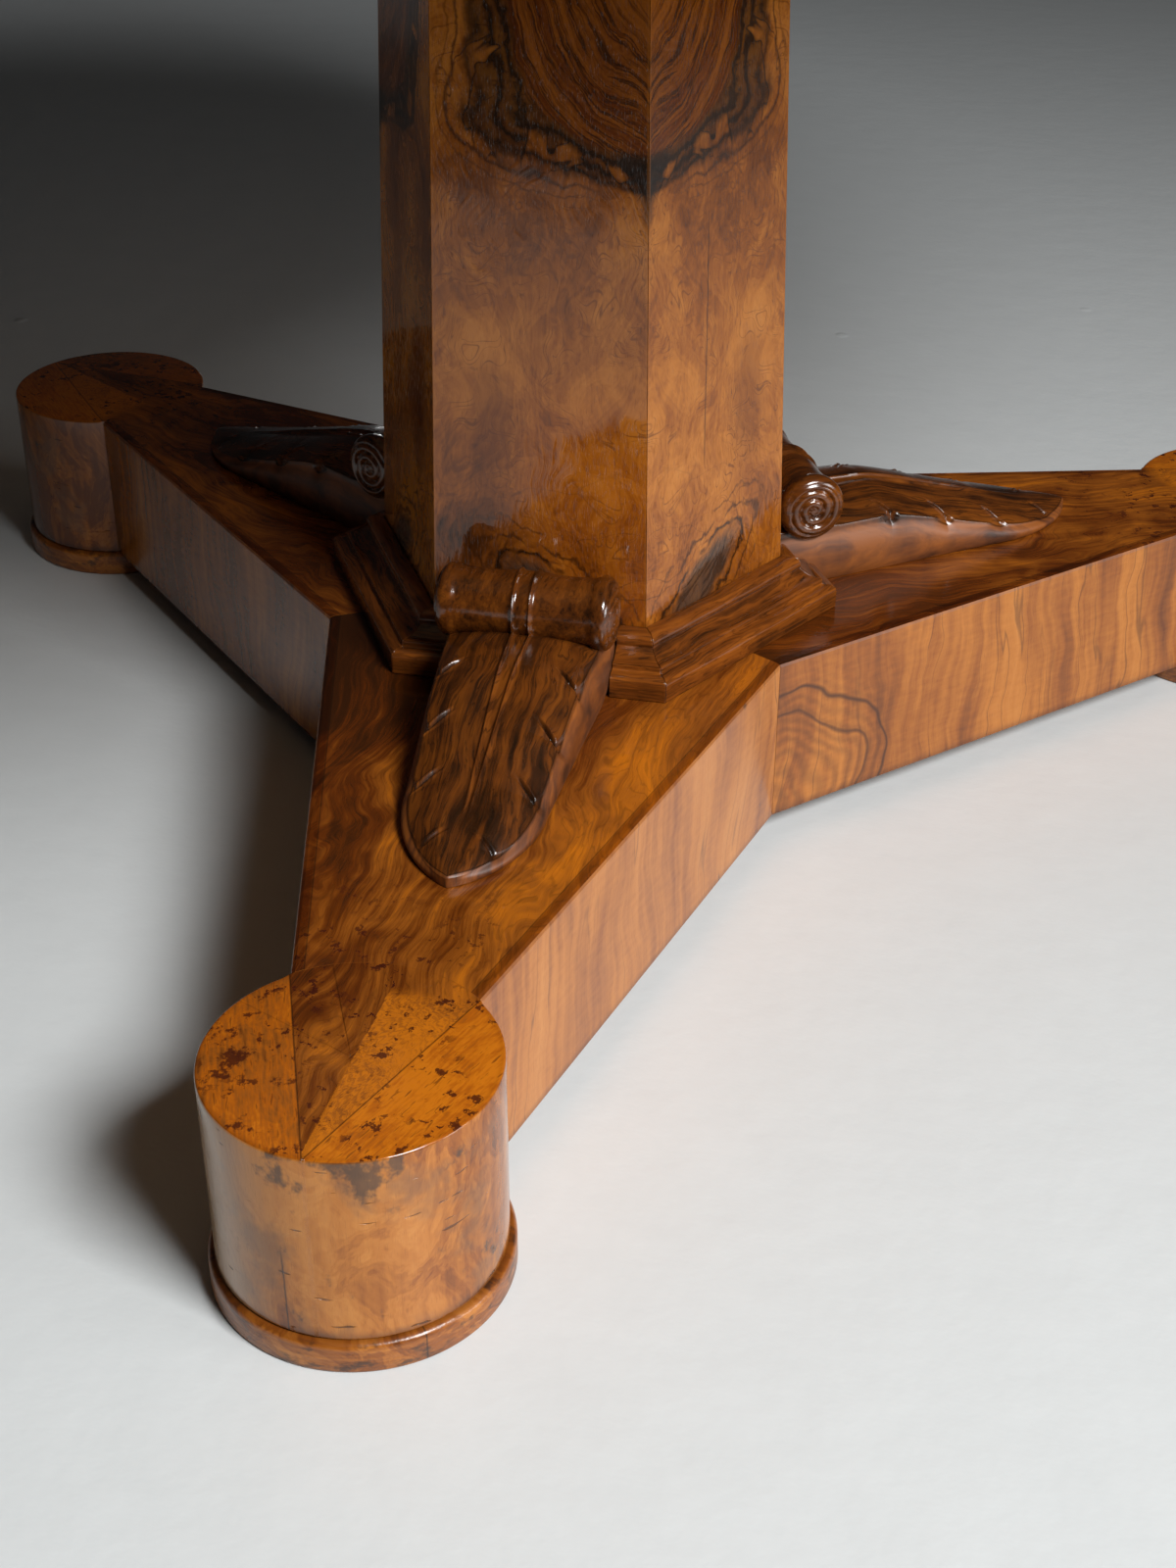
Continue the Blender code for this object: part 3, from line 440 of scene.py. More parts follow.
def column_veneer(name, angle, side, seed):
    """Book-matched crotch veneer of one column face. Two faces mirror each other at s = 0."""
    paint = Paint(name, seed)
    _, t, z = paint.place(angle)
    half = (COLUMN_FOOT_RADIUS + COLUMN_TAPER * PLATFORM_HEIGHT) / 2 - z * (COLUMN_TAPER / 2)
    s = (half - t * side).abs()
    drift = paint.noise((s * 18, z * 15), detail=2) - 0.5
    ripple = paint.noise((s * 70, z * 50), detail=4, roughness=0.6) - 0.5

    # Heart of growth rings, which comes to a point at the matched edge
    upright = (z - HEART_HEIGHT - s ** 0.5 * HEART_LIFT) / HEART_HALF_HEIGHT
    rounds = ((s / HEART_HALF_WIDTH) ** 3.0 + upright.abs() ** 3.0) ** (1 / 3)
    rounds = rounds + drift * 0.34 + ripple * 0.08
    growth = paint.noise((rounds * 8, s * 6, z * 6), detail=4, roughness=0.6)
    fine = (rounds * 150 + ripple * 16).wave()

    # Black band round the heart, with amber islands in it, thin contours outside it and a fork below it
    level = z - BAND_MIDDLE
    depth = (level * (-1 / BAND_DROP)).most(level / BAND_RISE)
    reach = ((s / HEART_HALF_WIDTH) ** 4.0 + depth ** 4.0) ** 0.25 + drift * 0.66 + ripple * 0.15
    inside = reach.fall(0.95, 1.02)
    strands = (reach * 56 + ripple * 10).wave()
    holes = paint.noise((s * 40, z * 34), detail=2, warp=0.8)
    gaps = holes.rise(0.535, 0.6) * reach.rise(1.06, 1.12) * reach.fall(1.2, 1.27)
    band = reach.rise(0.92, 1.0) * reach.fall(1.24, 1.34) * (1.0 - gaps * 0.8)
    squiggle = holes.line(0.55, 0.014) * reach.rise(1.0, 1.06) * reach.fall(1.3, 1.4)
    contours = reach.lines((1.36, 0.022, 1.0), (1.43, 0.014, 0.6)) * s.rise(0.01, 0.04)
    flare = (z - FORK_FOOT).most(0.0) ** 2.0 * FORK_FLARE
    fork = (s - flare + ripple * 0.01).fall(-0.003, 0.004)
    fork = fork * z.rise(FORK_FOOT - 0.01, FORK_FOOT + 0.006) * z.fall(FORK_TOP - 0.003, FORK_TOP + 0.004)

    # Burl, darker below the band and at the foot. The front face also gets painted shade towards its foot
    # and a painted reflection, warmer near the matched edge
    below = z.rise(0.275, 0.325) * z.fall(0.355, 0.385) * s.rise(0.0, 0.03)
    figure = burl(paint, s, z) * 0.5 + drift * 0.6 - below * (drift * 1.2 + 0.18)
    figure = figure - z.fall(0.13, 0.24) * 0.11 + 0.24
    # Painted shade: the front face alone grows darker towards its foot, most away from the matched edge
    if name.endswith("_front"):
        figure = figure - z.fall(0.18, 0.3) * (s.rise(0.03, 0.075) * 0.2 + 0.01)
    grain = paint.noise((s * 420 + drift * 30, z * 30), detail=2)
    tone = figure + (grain - 0.5) * 0.3 + ripple * 0.28
    wood = paint.ramp(tone, (0.04, DARK_HEART), (0.2, WALNUT), (0.36, AMBER), (0.56, HONEY), (0.92, PALE))
    # Painted reflection: the front face's foot near the matched edge is tinted warmer, as where its polish
    # mirrors the dark arm
    if name.endswith("_front"):
        wood = wood.shade(z.fall(0.2, 0.28) * s.fall(0.035, 0.075) * 0.8, PAINTED_REFLECTION_TINT)
    flow = paint.noise((s * 30 + drift * 9, z * 20), detail=2, warp=1.0)
    wisps = flow.lines((0.5, 0.01, 1.0), (0.56, 0.008, 1.0), (0.45, 0.008, 1.0))
    wood = wood.mix(wisps * ripple.rise(-0.08, 0.06) * 0.7, WALNUT)
    rings = growth.lines((0.5, 0.03, 1.0), (0.42, 0.02, 0.7), (0.57, 0.016, 0.6))
    ring_tone = (growth - 0.5) * 1.2 + tone * 0.5 - fine * 0.1 + 0.28
    heart = paint.ramp(ring_tone, (0.06, DARK_HEART), (0.3, CHESTNUT), (0.62, AMBER))
    wood = wood.mix(inside, heart.mix(rings * 0.75, BLACK_LINE))
    wood = wood.mix(contours * 0.75, DARK_HEART)
    for mark in (squiggle * 0.8, band * (strands * 0.28 + 0.68), fork * 0.88):
        wood = wood.mix(mark, BLACK_LINE)

    # Soft upright shadow in the figure, and a slanting grey-black patch with squiggles at the foot
    right, up = s - SHADOW_CENTRE[0], z - SHADOW_CENTRE[1]
    shadow = distance(right / SHADOW_HALF_WIDTH, up / SHADOW_HALF_HEIGHT) + drift * 1.6
    wood = wood.shade(shadow.fall(0.4, 1.15) * 0.75, SHADOW_TONE)
    right, up = s - PATCH_CENTRE[0], z - PATCH_CENTRE[1]
    long = right * math.cos(PATCH_TILT) + up * math.sin(PATCH_TILT)
    wide = up * math.cos(PATCH_TILT) - right * math.sin(PATCH_TILT)
    patch = distance(long / PATCH_HALF_LENGTH, wide / PATCH_HALF_WIDTH) + drift * 1.6 + ripple * 0.9
    wood = wood.mix(patch.fall(0.55, 1.0) * 0.8, PATCH_GREY)
    streaks = paint.noise((long * 50, wide * 330 + drift * 20), detail=2).rise(0.46, 0.58)
    wood = wood.mix(patch.fall(0.6, 1.0) * streaks * 0.55, BLACK_LINE)
    wood = wood.mix(patch.line(1.0, 0.12) * holes.rise(0.34, 0.48) * 0.9, BLACK_LINE)
    wood = wood.mix(patch.line(1.4, 0.09) * holes.fall(0.48, 0.62) * 0.8, DARK_HEART)
    wood = wood.mix(patch.line(1.75, 0.07) * holes.rise(0.4, 0.54) * 0.6, DARK_HEART)
    creases = paint.noise((s * 26, z * 30), detail=1, warp=1.2).line(0.5, 0.009) * z.fall(0.15, 0.24)
    wood = wood.mix(creases * 0.55, DARK_HEART)

    # Small eyes, pores, a crack, and wear along the edges
    eyes = paint.cells((s * 25, z * 19)).fall(0.04, 0.1) * holes.rise(0.48, 0.56)
    wood = wood.mix(eyes * 0.6, WALNUT)
    tiny = pores(paint, z, s)
    wood = wood.shade(tiny * 0.5, PORE_TONE)
    if name.endswith("front_right"):
        crack = (s - CRACK_PLACE + drift * 0.003).line(0.0, 0.0006)
        crack = crack * z.rise(CRACK_FOOT, CRACK_FOOT + 0.015) * z.fall(CRACK_TOP - 0.012, CRACK_TOP)
        wood = wood.mix(crack * 0.8, BLACK_LINE)
    rim = (half - t.abs()).fall(0.0003, 0.0014)
    wood = wood.mix(rim * 0.3, HONEY)
    height = grain * 0.2 - tiny * 0.25 + drift * 2.0
    return paint.finish(wood, polish(paint, s, z) * COLUMN_POLISH, height, 0.0004)


def arm_top(paint, u, v, across):
    """Long wavy grain of an arm's top, which runs on over its drum and grows paler across by a given amount.

    Gives the colour and the fine lines.
    """
    sway = paint.noise((u * 9, v * 12), detail=2.5, warp=0.3) - 0.5
    q = v + sway * 0.085
    lines = paint.noise((q * 300, u * 16), detail=4, roughness=0.7)
    bands = paint.noise((q * 58, u * 9))
    clouds = paint.noise((u * 24 + sway * 4, v * 30 - sway * 3), detail=2, warp=0.5)
    tone = (lines - 0.5) * 0.8 + (bands - 0.5) * 0.8 + (clouds - 0.5) * 0.7
    # Paler towards +v by the given amount: partly the wood's own tone, partly painted shade on the -v side
    tone = tone + v * across - u.fall(0.13, 0.23) * (clouds * 0.6 - 0.16) + 0.465
    wood = paint.ramp(tone, (0.12, DARK_HEART), (0.33, CHESTNUT), (0.55, AMBER), (0.82, GOLD))
    threads = (bands * 90 + lines * 5).wave().rise(0.86, 0.99)
    wood = wood.mix(threads * 0.26, DARK_HEART)
    wood = wood.mix(spots(paint, u, v) * u.rise(0.27, 0.34) * 0.8, SPOT)
    return wood.shade(pores(paint, u, v) * 0.5, PORE_TONE), lines


def arm_veneer(name, angle, seed, across, paleness_and_shade):
    """Veneer of a platform arm: long wavy grain on top with a dark edge, and upright grain on the sides."""
    paint = Paint(name, seed)
    u, v, z = paint.place(angle)
    top, lines = arm_top(paint, u, v, across)
    edge_v = (CORNER_V + CORNER_U * ARM_SLOPE) - u * ARM_SLOPE
    inset = (edge_v - v.abs()) * ARM_SIDE_COS
    top = top.shade(inset.fall(0.0046, 0.0062) * 0.75, EDGE_TONE)
    top = top.mix(inset.line(0.0057, 0.0006) * 0.6, BLACK_LINE)

    # Sides, where w runs along the arm from the inner corner, with bows of growth rings at that corner
    w = (u - CORNER_U) / ARM_SIDE_COS
    lean = paint.noise((w * 11, z * 10, v * 3)) - 0.5
    p = w + z * 0.06 + lean * 0.045
    stripes = paint.noise((p * 190, z * 7, v * 3), roughness=0.6)
    broad = paint.noise((p * 32, z * 6, v * 3))
    flecks = paint.noise((w * 90, z * 330), detail=2)
    # Lower paleness on the right and left arms is partly painted shade
    tone = (stripes - 0.5) * 0.52 + (broad - 0.5) * 0.95 + (flecks - 0.5) * 0.18 + paleness_and_shade
    side = paint.ramp(tone, (0.14, WALNUT), (0.32, AMBER), (0.52, HONEY), (0.84, PALE))
    bow = distance(w / BOW_HALF_WIDTH, (z - BOW_HEIGHT) / BOW_HALF_HEIGHT) + lean * 1.1
    bows = bow.lines((1.0, 0.04, 1.0), (0.76, 0.034, 0.9))
    bows = bows.most((bow * 66).wave() * bow.fall(0.6, 1.5) * 0.36)
    side = side.mix(bows * v.fall(-0.01, 0.0) * 0.85, DARK_HEART)
    threads = paint.noise((p * 62, z * 4, v * 3), detail=2).line(0.5, 0.016)
    side = side.mix(threads * broad.rise(0.42, 0.58) * 0.5, DARK_HEART)
    knots = paint.cells((w * 26, z * 20, v * 3)).fall(0.05, 0.11) * broad.fall(0.44, 0.5)
    side = side.mix(knots * 0.85, BLACK_LINE)
    side = side.shade(pores(paint, z, w) * 0.5, PORE_TONE)
    # Darker along the foot of the sides
    side = side.shade(z.fall(PAD_HEIGHT, PAD_HEIGHT + 0.005) * 0.6, BOTTOM_TONE)

    up = paint.up()
    wood = side.mix(up.rise(0.45, 0.75), top)
    # Painted shade on the rounded edges between top and sides, which are rougher as well
    shaded_rough_edge = up.rise(0.06, 0.2) * up.fall(0.8, 0.94)
    wood = wood.shade(shaded_rough_edge * 0.5, PORE_TONE)
    height = lines * 0.25 + paint.noise((u * 10, v * 10, z * 10), detail=1) * 2.0
    return paint.finish(wood, polish(paint, u, v + z) + shaded_rough_edge * 0.35, height, 0.0004)


def drum_veneer(name, seed, across, paleness_and_shade, painted_sheen):
    """Veneer of a drum foot: the arm's veneer between two wedges on top, and mottled veneer on the side."""
    paint = Paint(name, seed)
    u, v, z = paint.place()
    tongue, _ = arm_top(paint, u, v, across)

    # Top
    tip = FOOT_DISTANCE + DRUM_RADIUS
    slope = ARM_HALF_WIDTH / (tip - ARM_END_U)
    joint = (v.abs() - (tip - u) * slope) / math.sqrt(1 + slope ** 2)
    on_wedge = joint.rise(-0.0001, 0.0001)
    right = v.rise(-0.001, 0.001)
    a = u - v.abs() * slope
    b = joint + right * 3.0
    dashes = paint.noise((a * 75, b * 560), detail=2)
    clouds = burl(paint, a, b * 2)
    tone = clouds * 0.5 + (dashes - 0.5) * 0.85 + right * 0.2 + 0.19
    wedge = paint.ramp(tone, (0.16, WALNUT), (0.34, AMBER), (0.52, ORANGE), (0.72, GOLD))
    feather = (v * 1300 - u * 700 + dashes * 12 + clouds * 30).wave()
    light = paint.ramp(feather * 0.22 + clouds * 0.42 + 0.26, (0.16, WALNUT), (0.38, AMBER), (0.66, GOLD))
    slant = v - 0.0035 + (u - INLAY_START) * 0.044 + (dashes - 0.5) * 0.003
    inlay = slant.rise(-0.0002, 0.0002) * u.rise(INLAY_START + 0.006, INLAY_START + 0.016)
    face = tongue.mix(inlay * 0.9, light)
    face = face.mix(on_wedge, wedge)
    face = face.mix(joint.line(0.0, 0.0006) * 0.75, BLACK_LINE)
    face = face.mix(dashes.rise(0.61, 0.69) * on_wedge * 0.6, SPOT)
    stains = paint.noise((u * 55, v * 55), detail=5, roughness=0.7)
    stained = stains.rise(0.56, 0.62) * v.fall(-0.02, -0.008)
    face = face.mix(spots(paint, u, v).most(stained) * 0.88, SPOT)
    radius = distance(u - FOOT_DISTANCE, v)
    # Darker round the top's edge, outside the arm's mouth
    darker_rim = radius.rise(DRUM_RADIUS - 0.0035, DRUM_RADIUS - 0.0005)
    darker_rim = darker_rim * u.rise(ARM_END_U - 0.004, ARM_END_U + 0.004)
    face = face.shade(darker_rim * 0.4, PORE_TONE)

    # Side
    turn = paint.math("ARCTAN2", v, u - FOOT_DISTANCE) * DRUM_RADIUS
    flame = burl(paint, turn, z * 0.8)
    streaks = paint.noise((turn * 200, z * 16))
    # Painted dark reflection: the side darkens from about 35 degrees round towards +v
    tone = flame * 0.8 + (streaks - 0.5) * 0.5 + (paleness_and_shade - 0.34) - turn.rise(0.036, 0.056) * 0.18
    side = paint.ramp(tone, (0.1, WALNUT), (0.28, AMBER), (0.48, HONEY), (0.8, PALE))
    bruise = paint.noise((turn * 22, z * 20), detail=4, roughness=0.62)
    side = side.mix(bruise.rise(0.52, 0.66) * 0.55, BRUISE)
    # Painted sheen: a pale grey haze on the side towards -v, standing in for the floor's reflection and
    # bounce light
    side = side.mix(turn.fall(-0.056, -0.014) * (bruise * 0.8 + painted_sheen), PAINTED_SHEEN)
    under_rim = z.rise(0.078, 0.103) * (turn - 0.013).abs().fall(0.018, 0.042)
    stain = paint.noise((turn * 60, z * 46), detail=4, roughness=0.65) + under_rim * 0.22
    side = side.mix(stain.rise(0.62, 0.74) * 0.8, STAIN)
    seam = (turn + (bruise - 0.5) * 0.004 + 0.0115).line(0.0, 0.0007) * z.fall(0.05, 0.062)
    side = side.mix(seam * 0.8, BLACK_LINE)
    scars = paint.noise((turn * 60, z * 420), detail=2).rise(0.68, 0.72) * bruise.rise(0.46, 0.54)
    side = side.mix(scars * 0.7, DARK_HEART)
    side = side.shade(pores(paint, z, turn) * 0.4, PORE_TONE)
    side = side.shade(z.fall(PAD_HEIGHT + 0.0005, PAD_HEIGHT + 0.0055) * 0.7, GROOVE_TONE)

    wood = side.mix(paint.up().rise(0.45, 0.75), face)
    height = dashes * 0.2 - scars * 0.8 + bruise * 1.6
    return paint.finish(wood, polish(paint, turn, z + u), height, 0.0004)


def pad_veneer(name, seed):
    """Worn veneer round a foot pad, with dark bruises and a joint."""
    paint = Paint(name, seed)
    u, v, z = paint.place()
    turn = paint.math("ARCTAN2", v, u - FOOT_DISTANCE) * PAD_RADIUS
    clouds = burl(paint, turn, z * 2)
    lines = paint.noise((turn * 30, z * 500))
    tone = clouds * 1.2 + (lines - 0.5) * 0.6 - 0.17
    wood = paint.ramp(tone, (0.16, WALNUT), (0.4, AMBER), (0.66, HONEY), (0.9, PALE))
    wear = paint.noise((turn * 55, z * 120), detail=4, roughness=0.65)
    wood = wood.mix(wear.rise(0.52, 0.64) * 0.8, WORN_DARK)
    wood = wood.mix((turn - PAD_JOINT).line(0.0, 0.0006) * 0.8, BLACK_LINE)
    wood = wood.shade(z.rise(PAD_HEIGHT - 0.002, PAD_HEIGHT - 0.0004) * 0.6, PAD_TOP_TONE)
    # Darker at the foot of the pad
    wood = wood.shade(z.fall(0.0, 0.0025) * 0.5, BOTTOM_TONE)
    return paint.finish(wood, wear * 0.22 + 0.2, wear * 1.2 + lines * 0.3, 0.0005)


def leaf_marks(paint, u, v):
    """Where the leaf's upright side shows, and where its vein cuts run, each from 0 to 1."""
    across = (v - (u - SCROLL_DISTANCE) * math.tan(LEAF_SWING)).abs()
    inside = leaf_half_width(u) - LEAF_RIM_INSET - across
    last = LEAF_TIP_DISTANCE - LEAF_TIP_LOBE + LEAF_NOTCHES * LEAF_NOTCH_SPACING
    back = paint.math("MODULO", last - u, LEAF_NOTCH_SPACING)
    length = math.hypot(VEIN_BACK, VEIN_IN)
    off = (back * VEIN_IN - (inside - LEAF_NOTCH_DEPTH) * VEIN_BACK) / length
    cut = off.line(0.0, 0.0013) * inside.rise(-0.001, 0.0004) * inside.fall(0.7 * VEIN_IN, 1.1 * VEIN_IN)
    return inside.fall(-0.0006, 0.0003), cut.most(inside.line(0.0003, 0.0008) * 0.7)


def carved_wood(name, seed, along, layers, light, contrast, gloss, leaf=False):
    """Dark streaked wood whose grain runs along one of the piece's own axes, with layers up through it."""
    paint = Paint(name, seed)
    place = paint.place()
    a = place[along]
    b, c = (axis for i, axis in enumerate(place) if i != along)
    sway = paint.noise((a * 16, b * 26, c * 26 * layers)) - 0.5
    q = b + sway * 0.022
    lines = paint.noise((q * 560, c * 560 * layers, a * 17), roughness=0.6)
    bands = paint.noise((q * 150, c * 150 * layers, a * 12))
    mottle = paint.noise((a * 60, q * 90, c * 90 * layers))
    streaks = (lines - 0.5) * 0.8 + (bands - 0.5) * 1.1 + (mottle - 0.5) * 0.5
    tone = streaks * contrast + 0.5
    tones = [tuple(light * part for part in colour) for colour in (BLACK_LINE, DARK_HEART, WALNUT, AMBER)]
    wood = paint.ramp(tone, *zip((0.2, 0.36, 0.54, 0.84), tones))
    threads = (bands * 50 + lines * 7).wave().rise(0.86, 0.99)
    wood = wood.mix(threads * (0.6 * contrast), BLACK_LINE)
    if leaf:
        upright, cut = leaf_marks(paint, a, b)
        flank = paint.ramp(streaks + 0.5, (0.24, DARK_HEART), (0.44, WALNUT), (0.7, AMBER))
        wood = wood.mix(upright * 0.85, flank)
        wood = wood.mix(cut * 0.85, BLACK_LINE)
        gloss = upright * 0.26 + gloss
    shine = paint.noise((a * 30, b * 30, c * 30)).rise(0.3, 0.8) * 0.1 + gloss
    return paint.finish(wood, shine, lines * 0.4, 0.0003)


def board(paint, along, across):
    """Bare softwood of the faces that carry no veneer."""
    sway = paint.noise((along * 3, across * 12), detail=2)
    lines = paint.noise((across * 300 + sway * 14, along * 6))
    rings = (across * 210 + sway * 18).wave()
    return paint.ramp(rings * 0.18 + lines * 0.64 + 0.09, *BOARD_TONES)


def top_veneer(name, seed):
    """Radiating wedges of matched veneer on the round top, inside a crossbanded border."""
    paint = Paint(name, seed)
    x, y, z = paint.place()
    radius = distance(x, y)
    wedge = math.radians(30)
    turn = paint.math("ARCTAN2", y, x)
    share = paint.math("PINGPONG", turn + math.pi, wedge)
    across = radius * share
    sway = paint.noise((radius * 7, across * 11), detail=2) - 0.5
    lines = paint.noise((across * 220 + sway * 16, radius * 12), roughness=0.6)
    clouds = burl(paint, radius * 0.7, across)
    flame = paint.noise((radius * 26 - across * 40 + sway * 8, across * 8))
    tone = (lines - 0.5) * 0.6 + (flame - 0.5) * 1.2 + clouds * 0.7 + 0.15
    wood = paint.ramp(tone, (0.14, DARK_HEART), (0.32, CHESTNUT), (0.54, AMBER), (0.82, HONEY))
    threads = (flame * 60 + lines * 4).wave().rise(0.84, 0.98)
    wood = wood.mix(threads * 0.6, DARK_HEART)
    joint = across.line(0.0, 0.0006).most(((wedge - share) * radius).line(0.0, 0.0006))
    wood = wood.mix(joint * 0.7, BLACK_LINE)
    cross = paint.noise((turn * 110, radius * 60))
    border = paint.ramp(cross, (0.34, DARK_HEART), (0.5, WALNUT), (0.66, AMBER))
    wood = wood.mix(radius.rise(TOP_BORDER - 0.0002, TOP_BORDER + 0.0002), border)
    wood = wood.mix(radius.line(TOP_BORDER, 0.0012), BLACK_LINE)
    wood = wood.shade(pores(paint, radius, across) * 0.5, PORE_TONE)
    height = lines * 0.2 + paint.noise((x * 8, y * 8), detail=1) * 0.6
    under = z.fall(TOP_UNDERSIDE + 0.0003, TOP_UNDERSIDE + 0.0006)
    wood = wood.mix(under, board(paint, y, x))
    return paint.finish(wood, polish(paint, x, y) + under * 0.4, height, 0.0004)


def apron_veneer(name, seed, inner=0.0):
    """Upright matched veneer round the apron and on the cap. Inside the radius inner it is bare wood."""
    paint = Paint(name, seed)
    x, y, z = paint.place()
    turn = paint.math("ARCTAN2", y, x) * TOP_RADIUS
    figure = burl(paint, turn, z * 1.5)
    lines = paint.noise((turn * 170 + figure * 6, z * 9), roughness=0.6)
    tone = figure * 0.7 + (lines - 0.5) * 0.8 + 0.15
    wood = paint.ramp(tone, (0.14, DARK_HEART), (0.32, WALNUT), (0.54, AMBER), (0.82, HONEY))
    threads = paint.noise((turn * 60, z * 4), detail=2).line(0.5, 0.016)
    wood = wood.mix(threads * 0.6, BLACK_LINE)
    wood = wood.shade(pores(paint, z, turn) * 0.5, PORE_TONE)
    bare = distance(x, y).fall(inner + 0.0006, inner + 0.0012)
    wood = wood.mix(bare, board(paint, turn, z))
    return paint.finish(wood, polish(paint, turn, z) + bare * 0.4, lines * 0.3, 0.0003)


# Plain materials out of sight

def pine(name, seed, along):
    paint = Paint(name, seed)
    place = paint.place()
    a, b, c = place[along], place[(along + 1) % 3], place[(along + 2) % 3]
    sway = paint.noise((a * 5, b * 9, c * 9), detail=2)
    rings = (b * 420 + c * 260 + sway * 16).wave()
    lines = paint.noise((b * 500, c * 500, a * 8))
    wood = paint.ramp(rings * 0.55 + lines * 0.45, *PINE_TONES)
    dirt = paint.noise((a * 12, b * 12, c * 12), detail=4, roughness=0.65)
    wood = wood.shade(dirt.rise(0.45, 0.7) * 0.6, PORE_TONE)
    return paint.finish(wood, dirt * 0.2 + 0.55, lines + rings * 0.5, 0.0005)


def iron(name):
    paint = Paint(name, 4.0)
    x, y, z = paint.place()
    hammer = paint.noise((x * 120, y * 120, z * 120), detail=2)
    rust = paint.noise((x * 60, y * 60, z * 60), detail=5, roughness=0.7)
    metal = paint.ramp(rust, *IRON_TONES)
    return paint.finish(metal, rust * 0.35 + 0.35, hammer + rust * 0.5, 0.0006, 0.85)


def brass(name):
    paint = Paint(name, 7.0)
    x, y, z = paint.place()
    tarnish = paint.noise((x * 70, y * 70, z * 70), detail=5, roughness=0.65)
    scratch = paint.noise((x * 60, y * 1500, z * 900), detail=2)
    metal = paint.ramp(tarnish, *BRASS_TONES)
    return paint.finish(metal, tarnish * 0.25 + 0.22, scratch, 0.0002, 1.0)


# Mesh helpers

def arc(centre, radius, start, end, steps):
    """Points of a circular arc from start to end in degrees, both included."""
    angles = [math.radians(start + (end - start) * i / steps) for i in range(steps + 1)]
    return [(centre[0] + radius * math.cos(a), centre[1] + radius * math.sin(a)) for a in angles]


def limit(x, low=0.0):
    """A number or a field, held between low and 1."""
    return x.most(low).least(1.0) if isinstance(x, Field) else min(1.0, max(low, x))


def smoothstep(low, high, x):
    t = limit((x - low) / (high - low))
    return t * t * (3 - 2 * t)


def loft(rings):
    """Mesh through closed rings of points, one after the other, capped at both ends."""
    bm = bmesh.new()
    rings = [[bm.verts.new(point) for point in ring] for ring in rings]
    count = len(rings[0])
    for first, second in zip(rings, rings[1:]):
        for i in range(count):
            j = (i + 1) % count
            bm.faces.new((first[i], first[j], second[j], second[i]))
    bm.faces.new(rings[0])
    bm.faces.new(rings[-1])
    return bm


def lathe(profile, steps, centre=0.0):
    """Turned body from a profile of (radius, height), with its axis at a distance along u."""
    angles = [2 * math.pi * i / steps for i in range(steps)]
    return loft([[(centre + r * math.cos(a), r * math.sin(a), z) for a in angles] for r, z in profile])


def piece(name, bm, material, body, replaced=(), angle=0.0, sharp=35):
    """Turns a bmesh into a visible piece that rides on a CAD body."""
    bmesh.ops.recalc_face_normals(bm, faces=bm.faces)
    mesh = bpy.data.meshes.new(name)
    bm.to_mesh(mesh)
    bm.free()
    mesh.shade_smooth()
    mesh.set_sharp_from_angle(angle=math.radians(sharp))
    mesh.materials.append(material)
    made = bpy.data.objects.new(name, mesh)
    bpy.context.scene.collection.objects.link(made)
    made.rotation_euler.z = math.radians(angle)
    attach(made, body)
    if replaced:
        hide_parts(*replaced)
    return made


def soften(obj, width, segments=2):
    """Rounds the sharp edges of an object."""
    bevel = obj.modifiers.new("soft_edges", "BEVEL")
    bevel.width = width
    bevel.segments = segments
    bevel.limit_method = "ANGLE"
    bevel.angle_limit = math.radians(40)
    bevel.harden_normals = True


def dress(node, material, edge=0.0):
    """Gives a CAD node its finished material, and rounded edges if asked."""
    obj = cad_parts[node]
    obj.data.materials.clear()
    obj.data.materials.append(material)
    if edge:
        soften(obj, edge)


# Feet

def drum_mesh():
    """Drum with a rounded top edge. In the arm's mouth the edge is crisp and the fit close."""
    steps, levels = 180, 8
    mouth = math.asin(ARM_HALF_WIDTH / DRUM_RADIUS)
    height = PLATFORM_HEIGHT - PAD_HEIGHT
    columns = []
    for i in range(steps):
        a = 2 * math.pi * i / steps
        open_side = smoothstep(mouth - MOUTH_BLEND_IN, mouth + MOUTH_BLEND_OUT, abs(math.pi - a))
        edge = DRUM_CRISP_EDGE + DRUM_EDGE * open_side
        radius = DRUM_RADIUS + (1 - open_side) * DRUM_CLOSE_FIT
        column = [(radius - DRUM_FOOT_INSET, PAD_HEIGHT), (radius, PAD_HEIGHT + DRUM_FOOT_RISE)]
        column += [(radius, PAD_HEIGHT + height * k / levels) for k in range(1, levels)]
        column += arc((radius - edge, PLATFORM_HEIGHT - edge), edge, 0, 90, 4)
        columns.append([(FOOT_DISTANCE + r * math.cos(a), r * math.sin(a), z) for r, z in column])
    return loft(list(zip(*columns)))


